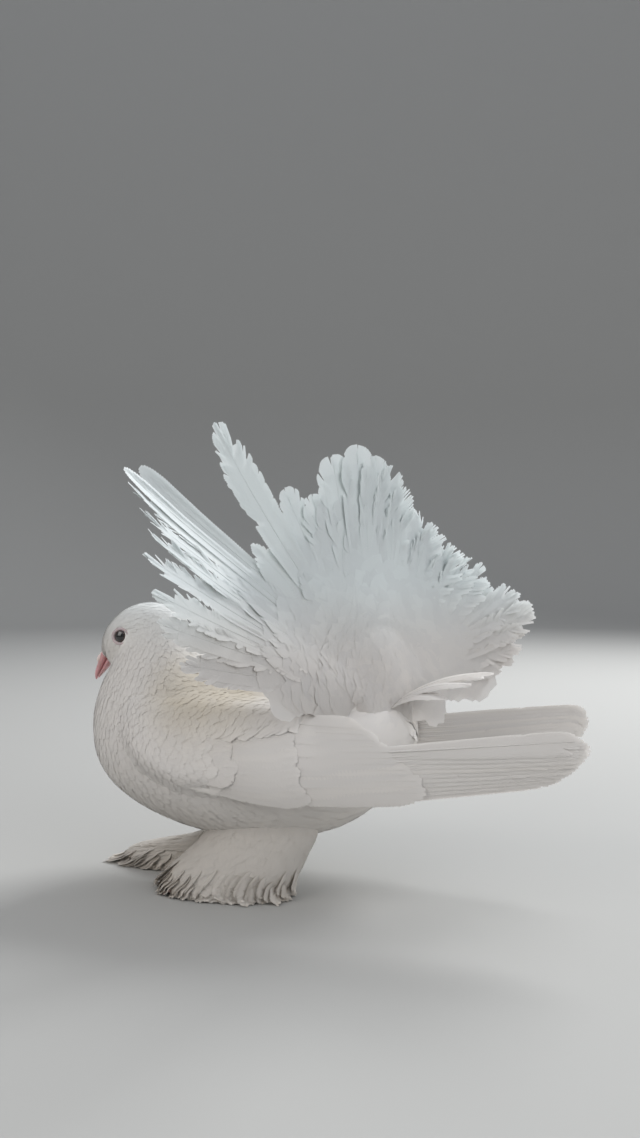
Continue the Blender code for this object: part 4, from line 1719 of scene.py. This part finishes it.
    def root_feathers(self) -> Object:
        """The few white feathers that stand out behind, under the fan's right side."""
        rng = np.random.default_rng(17)
        edge = ((0, 0.5), (0.4, 0.95), (0.75, 1), (1, 0.8))
        vane = Vane(4.8, 40, edge, 0.25, fray=0.14, camber=0.12, web=0.85, lobed=0.5, stem=0.3)
        tips = ((134, 1, 118), (128, 10, 115), (124, -9, 113), (115, 17, 109), (112, -15, 106))
        heap = FeatherHeap(vane.faces(), len(tips))
        share = np.linspace(0, 1, 13)[:, None]
        side = np.tile((0.0, 1.0, 0.25), (13, 1))
        for k, tip in enumerate(tips):
            start = np.array((76, 0.35 * tip[1], 98 - 0.4 * k), float)
            path = start * (1 - share) + np.array(tip, float) * share
            path[:, 2] += 5 * np.sin(math.pi * share[:, 0])
            heap.add(vane.grow(Spine.along(path, side), rng), k, rng.uniform(0, 1))
        return heap.make("root_feathers", FAN_FEATHER)

    def root_coverts(self, name: str, sign: int) -> Object:
        """The soft feathers that run from the rump up onto one face of the fan.

        Args:
            name: The piece's name.
            sign: 1 for the front and -1 for the back.

        Returns:
            The finished piece.
        """
        surface = FanRootSurface(self, sign)
        a, b = scatter(surface, (0, 1), (-7, 200), lambda a: 3.0 + 0.8 * a, 60 + sign, 40000)
        length = 12 + 8 * a
        sizes = (length, length * 0.38, -0.5, 0.6 + 0.2 * a)
        patches = np.stack((0.05 + 0.9 * a, 0.05 + 0.9 * (b + 7) / 207), -1)
        return SmallFeather(3, 6, 0.13).lay(name, surface, a, b, *sizes, patches, FAN_FEATHER, 0.1)

    def skirt(self, name: str, sign: int) -> Object:
        """The small feathers over the roots of the fan, on one face of it.

        Args:
            name: The piece's name.
            sign: 1 for the front and -1 for the back.

        Returns:
            The finished piece.
        """
        surface = FanSurface(self, sign)
        span = (26, 74)
        a, b = scatter(surface, span, (5, 180), lambda a: np.interp(a, span, (3.6, 6.0)), 80 + sign, 40000)
        keep = np.random.default_rng(4).uniform(0, 1, len(a)) < np.interp(a, (50, 74), (1, 0.3))
        a, b = a[keep], b[keep]
        length = np.interp(a, span, (18, 34))
        sizes = (length, length * 0.34, -0.6, np.interp(a, span, (0.6, 0.5)))
        patches = np.stack((0.05 + 0.9 * a / 74, 0.05 + 0.9 * (b + 4) / 188), -1)
        return SmallFeather(3, 6, 0.11).lay(name, surface, a, b, *sizes, patches, FAN_FEATHER, 0.07)

    def coverts(self, rng: Draw, name: str, lift: float) -> Object:
        """The middling feathers over the long ones on one face of the fan.

        Args:
            rng: The random draw.
            name: The piece's name.
            lift: How far off the dish they lie, forwards if positive.

        Returns:
            The finished piece.
        """
        edge = ((0, 0.45), (0.45, 0.9), (0.7, 1), (0.9, 0.7), (1, 0.4))
        vane = Vane(9.0, 50, edge, 0.2, fray=0.16, camber=0.03, web=0.8, stem=0.25)
        heap = FeatherHeap(vane.faces(), self.coverts_count)
        first, last = self.ends()
        for k in range(self.coverts_count):
            angle = first + 2 + (last - first - 4) * k / (self.coverts_count - 1) + rng.uniform(-1, 1)
            spine = self.spine(angle, 0.15, self.coverts_reach * rng.uniform(0.72, 1.3), lift)
            heap.add(vane.grow(spine, rng), k, rng.uniform(0, 1))
        return heap.make(name, FAN_FEATHER)


@dataclass
class FanSurface(Surface):
    """One face of the fan near its root: a is the distance from the root and b the angle."""

    fan: Fan
    side: int
    forward: tuple = (-0.84, 0.55, 0.0)
    steps: tuple = (0.4, 1.0)

    def __post_init__(self) -> None:
        """Turns the normals forward on the front face and back on the other."""
        self.facing = float(self.side)

    def dish(self, a: Array, b: Array) -> Array:
        """Points of the fan's middle sheet."""
        return self.fan.place(b, a / 110, 110.0)

    def point(self, a: Array, b: Array) -> Array:
        """Points of the face, thick at the root and thinner outwards."""
        off = np.interp(a, (0, 12, 30, 60, 90), (9.5, 7.5, 4.4, 1.8, 0.6))
        return self.dish(a, b) + np.array(self.forward) * (self.side * off)[..., None]


@dataclass
class FanRootSurface(Surface):
    """Where the rump runs up into one face of the fan: a goes from 0 on the rump to 1 on the fan."""

    fan: Fan
    side: int
    reach: float = 34.0
    knee: float = 12.0
    steps: tuple = (0.01, 1.0)
    # Places on the rump for every 45 degrees of the fan, from its left end to its right one.
    front: tuple = ((50, -21, 98), (47, -8, 105), (52, 5, 106), (62, 15, 102), (76, 15, 96))
    back: tuple = ((64, -23, 90), (79, -16, 80), (88, -4, 74), (89, 5, 76), (83, 14, 83))
    # How far the back sheet swells out round the rump's end, for the same places.
    swell: tuple = ((0, 0, 0), (5, 0, -5), (12, 0, -14), (10, 0, -12), (3, 0, -5))

    def __post_init__(self) -> None:
        """Turns the normals forward on the front face and back on the other."""
        self.facing = float(self.side)

    def point(self, a: Array, b: Array) -> Array:
        """Points of a sheet that leaves the rump, bends up and joins the fan's face.

        Args:
            a: From 0 on the rump to 1 on the fan, and past 1 on the fan's face.
            b: Degrees up from the fan's left side.

        Returns:
            The points.
        """
        face = FanSurface(self.fan, self.side)
        start = curve_rows(self.front if self.side > 0 else self.back, b / 45)
        knee, end = face.point(np.full_like(b, self.knee), b), face.point(np.full_like(b, self.reach), b)
        if self.side < 0:
            knee = knee + curve_rows(self.swell, b / 45)
        t = np.minimum(a, 1)[..., None]
        bend = (1 - t) ** 2 * start + 2 * t * (1 - t) * knee + t**2 * end
        past = np.maximum(a - 1, 0)
        on_face = face.point(self.reach + past * 2 * (self.reach - self.knee), b)
        return np.where(past[..., None] > 0, on_face, bend)


@dataclass
class Leg:
    """A feathered leg with bare toes under a muff of long foot feathers."""

    side_name: str
    foot: tuple
    heading: float
    rings: tuple
    high: float  # of the long feathers' roots
    hem: tuple  # how far the long feathers reach past the rings, in front, beside and behind
    ankle: float = 15.0
    toe_radius: float = 2.6
    toes: tuple = ((0, 24), (-34, 19), (34, 20), (186, 12))
    claw: float = 6.0
    # Root's and tip's height as shares of high, share of the hem's reach, lift off the rings, how many.
    tiers: tuple = (
        (0.6, 0.04, 1.0, -1.0, 44), (0.75, 0.1, 0.85, -0.7, 40),
        (0.95, 0.18, 0.65, -0.4, 36), (1.2, 0.32, 0.45, -0.1, 32),
    )

    @property
    def last_ring(self) -> int:
        """The number of the lowest ring."""
        return len(self.rings) - 1

    def direction(self, turn: float) -> Array:
        """The level direction at an angle off the foot's heading, in degrees."""
        angle = math.radians(self.heading + turn)
        return np.array((math.cos(angle), math.sin(angle), 0.0))

    def core(self, depth: float) -> BMesh:
        """The closed flesh of the leg, sunk by the coat's depth.

        Args:
            depth: The coat's depth.

        Returns:
            The closed body.
        """
        surface = LegSurface(self.rings)

        def place(s: Array, t: Array) -> Array:
            """The leg's surface, sunk."""
            return surface.below(s * self.last_ring, t * 2 * np.pi, depth * (1.4 + 1.2 * s)[:, None])

        return wrap_grid(place, 40, 40)

    def build(self) -> list[Object]:
        """The leg's pieces.

        Returns:
            The finished pieces.
        """
        return [self.down(), self.muff(), self.toe_skin(), self.claws()]

    def down(self) -> Object:
        """The small feathers down the leg."""
        surface = LegSurface(self.rings)
        a, b = scatter(surface, (0.3, 6.7), (-math.pi, math.pi), lambda a: np.full(len(a), 2.9), 90, 30000)
        rows = (0, 3, 5, 7)
        length = np.interp(a, rows, (14, 17, 17, 12))
        sizes = (length, length * 0.36, -0.6, np.interp(a, rows, (0.5, 0.7, 1.0, 1.0)))
        patches = np.stack((0.05 + 0.9 * a / self.last_ring, 0.5 + 0.9 * b / (2 * math.pi)), -1)
        name = "coat_leg_" + self.side_name
        return SmallFeather(4, 6, 0.13).lay(name, surface, a, b, *sizes, patches, MUFF_FEATHER, 0.2)

    def muff(self) -> Object:
        """The long foot feathers, out from the leg's lower part and down to the floor."""
        rng = np.random.default_rng(30 + SIDES[self.side_name])
        edge = ((0, 0.6), (0.4, 1), (0.75, 0.85), (1, 0.5))
        vane = Vane(5.0, 32, edge, 0.3, camber=0.03, web=0.78, stem=0.2)
        heap = FeatherHeap(vane.faces(), sum(tier[-1] for tier in self.tiers))
        for low_root, low_tip, share, lift, count in self.tiers:
            for n in range(count):
                turn = (360 * (n + rng.uniform(-0.5, 0.5)) / count) % 360
                root = self.high * low_root * rng.uniform(0.8, 1.2)
                span = (root, max(0.8, self.high * low_tip * rng.uniform(0.7, 1.3)))
                spine = self.foot_spine(turn, span, share * rng.uniform(0.5, 1.15), lift, rng)
                points, spots = vane.grow(spine, rng)
                points[:, 2] = np.maximum(points[:, 2], 0.25)
                heap.add((points, spots), len(heap.points), rng.uniform(0, 1))
        return heap.make("muff_feathers_" + self.side_name, MUFF_FEATHER, ("muff_" + self.side_name,))

    def foot_spine(self, turn: float, span: tuple, share: float, lift: float, rng: Draw) -> Spine:
        """One foot feather's spine, down the leg and out at its end.

        Args:
            turn: Degrees off the foot's heading.
            span: Its root's and its tip's height.
            share: Its reach past the rings, as a share of the hem's.
            lift: How far off the rings it lies.
            rng: The random draw.

        Returns:
            The spine.
        """
        out = self.direction(turn)
        side = np.array((-out[1], out[0], 0.0))
        ahead = math.cos(math.radians(turn))
        front, beside, rear = self.hem
        past = (beside + ((front if ahead > 0 else rear) - beside) * ahead**2) * share
        along = np.linspace(0, 1, 17)
        z = span[0] + (span[1] - span[0]) * smooth(along * 1.05) * (1 - 0.08 * np.sin(np.pi * along))
        rings = np.array(self.rings[::-1])
        x, y, long, wide = (np.interp(z, rings[:, 2], rings[:, i]) for i in (0, 1, 3, 4))
        edge = 1 / np.hypot(out[0] / long, out[1] / wide)
        sway = side * (rng.uniform(-2.5, 2.5) * along**2)[:, None]
        away = edge - 1.0 + lift * smooth(along * 3) + past * along**1.8
        path = np.stack((x, y, z), -1) + out * away[:, None] + sway
        return Spine.along(path, np.tile(side, (17, 1)), rng.uniform(-4, 4))

    def toe_ways(self) -> list[tuple[Array, Array]]:
        """Each toe's start and its way, as long as the toe."""
        start = np.array(self.foot) + (0, 0, 2.5)
        return [(start, self.direction(turn) * length) for turn, length in self.toes]

    def toe_skin(self) -> Object:
        """Shank and toes in one scaled skin."""
        foot = np.array(self.foot, float)
        share = np.linspace(0, 1, 12)[:, None]
        shank = foot + (0, 0, 1.8) + share * (0, 0, self.ankle - 2)
        thick = np.interp(share[:, 0], (0, 0.5, 1), (4.0, 3.1, 3.5))
        parts = [tube(shank + share * (0.01, 0, 0), thick, thick)]
        for start, way in self.toe_ways():
            share = np.linspace(0, 1, 22)
            pads = 1 + 0.10 * np.cos(share * math.pi * 6)
            radius = self.toe_radius * np.interp(share, (0, 0.9, 1), (1, 0.8, 0.5)) * pads
            path = start + way * share[:, None]
            path[:, 2] = 0.2 + radius
            parts.append(tube(path, radius, radius * 0.95, 16))
        skin = fuse(object_from("toes_" + self.side_name, merge(parts)), 0.5, 4)
        return finish_piece(skin, LEG_FINISH, ("foot_" + self.side_name,))

    def claws(self) -> Object:
        """The claws in one piece."""
        parts = []
        for start, way in self.toe_ways():
            out = unit(way)
            share = np.linspace(0, 1, 10)
            path = start + way - out * 1.2 + out * (share * (self.claw + 1.2))[:, None]
            path[:, 2] = 2.6 + 0.9 * np.sin(share * 2.2) - 2.2 * share**2
            radius = 1.3 * (1 - share) ** 0.7 + 0.12
            parts.append(tube(path, radius, radius * 0.75, 12))
        return finish_piece(object_from("claws_" + self.side_name, merge(parts)), CLAW_FINISH)


@dataclass
class Head:
    """Eyes with their rings, and the bill with its cere."""

    body: BodySurface
    bulge: float = 0.4  # how far the eyeball stands out
    ring_radius: float = 4.4
    ring_lift: float = 3.8  # of the ring's middle, off the eye's
    ring_half: tuple = (0.9, 0.7)  # half width and half height of its section
    # Along the bill: distance, top and bottom off its axis, half width.
    upper: tuple = (
        (-1.5, 4.2, -0.5, 4.2), (0.3, 4.3, -0.6, 4.2), (4, 3.4, -0.7, 3.3), (8.5, 2.5, -0.9, 2.5),
        (12.5, 1.3, -1.2, 1.5), (14.6, -0.1, -1.5, 0.8), (15.3, -0.8, -1.7, 0.35),
    )
    lower: tuple = (
        (-1.5, -0.9, -4.2, 4.0), (0.3, -0.95, -4.0, 3.9), (4, -1.05, -3.5, 3.1), (8.5, -1.25, -3.0, 2.2),
        (12, -1.55, -2.4, 1.2), (13.6, -1.75, -2.25, 0.4),
    )

    def bill_frame(self) -> tuple[Array, Array, Array]:
        """Origin, outward axis and up direction of the bill."""
        top_x, top_z, low_x, low_z, _ = self.body.sections[-1]
        up = unit(np.array((top_x - low_x, 0.0, top_z - low_z)))
        axis = np.cross(up, (0.0, 1.0, 0.0))
        return np.array(((top_x + low_x) / 2, 0.0, (top_z + low_z) / 2)), axis, up

    def mandible(self, rows: tuple) -> BMesh:
        """One half of the bill as a rounded tube.

        Args:
            rows: Distance, top, bottom and half width along it.

        Returns:
            The closed tube.
        """
        origin, axis, up = self.bill_frame()

        def place(s: Array, t: Array) -> Array:
            """Points round the bill's section."""
            along, top, low, half = np.moveaxis(curve_rows(rows, s * (len(rows) - 1)), -1, 0)
            angle = 2 * np.pi * t
            c, sn = np.cos(angle), np.sin(angle)
            height = (top + low) / 2 + (top - low) / 2 * np.sign(c) * np.abs(c) ** 0.85
            out = half * np.sign(sn) * np.abs(sn) ** 0.85
            directions = ((axis, along), (up, height), (np.array((0, 1.0, 0)), out))
            return origin + sum(way * far[:, None] for way, far in directions)

        return wrap_grid(place, 48, 32)

    def build(self) -> list[Object]:
        """The head's pieces.

        Returns:
            The finished pieces.
        """
        made = []
        halves = (("bill_top", "bill_upper", self.upper), ("bill_bottom", "bill_lower", self.lower))
        for name, node, rows in halves:
            half = fuse(object_from(name, self.mandible(rows)), 0.22, 3)
            made.append(finish_piece(half, BILL_FINISH, (node,)))
        made.append(self.cere())
        for name, sign in SIDES.items():
            made += self.eye(name, sign)
        return made

    def cere(self) -> Object:
        """The pale swellings over the nostrils."""
        origin, axis, up = self.bill_frame()
        turn = Matrix((axis, np.cross(up, axis), up)).transposed().to_4x4()
        parts = []
        lobes = ((2.6, 3.2, 1.6, (3.2, 1.9, 1.6)), (0.4, 3.0, 1.7, (2.0, 1.8, 1.7)))
        for sign in SIDES.values():
            for ahead, high, beside, radii in lobes:
                spot = origin + axis * ahead + up * high + np.array((0, sign * beside, 0))
                parts.append(ball(tuple(spot), radii, turn))
        return finish_piece(fuse(object_from("cere", merge(parts)), 0.2, 3), CERE_FINISH)

    def eye(self, name: str, sign: int) -> list[Object]:
        """An eyeball with the bare ring of skin round it.

        Args:
            name: The side's name.
            sign: -1 on the left and 1 on the right.

        Returns:
            The finished pieces.
        """
        x, y, z = EYE_PLACE
        middle = (x, sign * y, z)
        outward = Vector((0.0, sign, 0.05)).normalized()
        turn = outward.to_track_quat("Z", "Y").to_matrix().to_4x4()
        basis = np.array(turn.to_3x3())
        globe = ball((x, sign * (y + self.bulge), z), (EYE_RADIUS,) * 3, turn, 40)
        finish = EyeFinish("wet_eye_" + name, middle, tuple(outward))
        globe = finish_piece(object_from("eyeball_" + name, globe), finish, ("eye_" + name,))

        def place(s: Array, t: Array) -> Array:
            """Points of the ring: round the eye by t, round its own section by s."""
            angle, around = 2 * np.pi * s, 2 * np.pi * t
            folds = 1 + 0.05 * np.sin(angle * 19) * np.sin(around * 2)
            wide, thick = self.ring_half
            flat = self.ring_radius + 0.1 * np.cos(2 * angle) + wide * folds * np.cos(around)
            high = self.ring_lift + thick * folds * np.sin(around)
            local = np.stack((flat * np.cos(angle) * 1.04, flat * np.sin(angle) * 0.96, high), -1)
            return local @ basis.T + np.array(middle)

        ring = object_from("eye_ring_" + name, wrap_grid(place, 96, 16))
        return [globe, finish_piece(ring, RING_FINISH)]


# Stage


@dataclass
class Stage:
    """A pale floor that runs up behind, soft lights and the camera."""

    lens: float = 29.96
    eye_place: tuple = (182.4, -494.9, 172.0)
    turn: float = 16.0
    radius: float = 2.4  # of the floor's level part, in metres
    bend: float = 0.8  # radius of the curve at its rim
    bend_steps: int = 12

    def build(self) -> None:
        """Makes floor, lights and camera."""
        bpy.context.scene.view_settings.view_transform = "Standard"
        self.floor()
        self.lights()
        self.camera()

    def floor(self) -> None:
        """A round sheet, level under the bird and curved up far behind it."""
        bm = bmesh.new()
        bmesh.ops.create_circle(bm, cap_ends=True, radius=self.radius, segments=96)
        for k in range(self.bend_steps + 2):
            rim = [edge for edge in bm.edges if edge.is_boundary]
            step = bmesh.ops.extrude_edge_only(bm, edges=rim)["geom"]
            verts = [item for item in step if isinstance(item, bmesh.types.BMVert)]
            angle, following = (math.pi / 2 * min(1, n / self.bend_steps) for n in (k, k + 1))
            reach, before = (self.radius + self.bend * math.sin(n) for n in (following, angle))
            grow = reach / before
            climb = self.bend * (math.cos(angle) - math.cos(following)) if k < self.bend_steps else self.bend
            bmesh.ops.scale(bm, vec=(grow, grow, 1), verts=verts)
            bmesh.ops.translate(bm, vec=(0, 0, climb), verts=verts)
        made = place_object("floor", mesh_from("floor", bm))
        material = bpy.data.materials.new("floor_paper")
        material.use_nodes = True
        shader = material.node_tree.nodes["Principled BSDF"]
        shader.inputs["Base Color"].default_value = (0.42, 0.415, 0.40, 1)
        shader.inputs["Roughness"].default_value = 0.9
        made.data.materials.append(material)

    def lights(self) -> None:
        """A large soft key, a fill, a light from behind for the fan, and an even sky."""
        world = bpy.data.worlds.new("studio")
        bpy.context.scene.world = world
        world.use_nodes = True
        sky = world.node_tree.nodes["Background"]
        sky.inputs["Color"].default_value = (0.86, 0.90, 0.97, 1)
        sky.inputs["Strength"].default_value = 0.66
        self.lamp("key", (-0.8, -1.15, 1.0), 1.2, 9.0, (1.0, 0.97, 0.93))
        self.lamp("fill", (1.3, -0.7, 0.7), 1.2, 10.0, (0.93, 0.96, 1.0))
        self.lamp("behind", (0.5, 1.2, 1.3), 0.9, 30.0, (0.97, 0.99, 1.0))

    def lamp(self, name: str, place: tuple, size: float, power: float, colour: tuple) -> None:
        """A square lamp that faces the bird.

        Args:
            name: The lamp's name.
            place: Where it hangs, in metres.
            size: Its side in metres.
            power: Its power in watts.
            colour: Its colour.
        """
        light = bpy.data.lights.new(name, "AREA")
        light.shape = "SQUARE"
        light.size = size
        light.energy = power
        light.color = colour
        made = place_object(name, light)
        made.location = place
        made.rotation_mode = "QUATERNION"
        made.rotation_quaternion = (Vector((0, 0, 0.12)) - Vector(place)).to_track_quat("-Z", "Y")

    def camera(self) -> None:
        """The camera, level and as high above the floor as the photo's."""
        data = bpy.data.cameras.new("camera")
        data.lens = self.lens
        data.sensor_width = 36
        data.clip_start = 0.01
        made = place_object("camera", data)
        made.location = Vector((np.array(self.eye_place) + SHIFT) * MM)
        made.rotation_euler = (math.pi / 2, 0, math.radians(self.turn))
        bpy.context.scene.camera = made


def main() -> None:
    """Builds the bird piece by piece."""
    logging.basicConfig(level=logging.INFO, format="%(message)s")
    body = BodySurface()
    near = (
        (12, -16, 70, 20, 13), (14, -18, 56, 27, 16), (16, -20, 43, 29, 16), (14, -21.5, 33, 31, 17.5),
        (7, -22, 22, 33, 19), (-1, -22.5, 12, 36, 20), (-6, -23, 5, 36, 20), (-7, -23, 1, 33, 18),
    )
    far = (
        (-6, 15, 64, 8, 7), (-4, 18, 52, 14, 10), (-4, 20, 40, 17, 12), (-8, 20, 28, 20, 13),
        (-17, 18, 18, 23, 14), (-41, 15, 10, 33, 14), (-47, 14, 5, 36, 14), (-49, 14, 1, 36, 13),
    )
    legs = [
        Leg("left", (-14, -23, 0), 186, near, 13, (10, 4, 12)),
        Leg("right", (-42, 14, 0), 178, far, 8, (13, 4, 8)),
    ]
    fan = Fan()
    pieces = [Skin().build(body, legs, fan), *Coat(body).build()]
    for part in (Wing("left"), Wing("right"), fan, *legs, Head(body)):
        pieces += part.build()
    log.info("%d pieces", len(pieces))
    Stage().build()


if __name__ == "__main__":
    main()
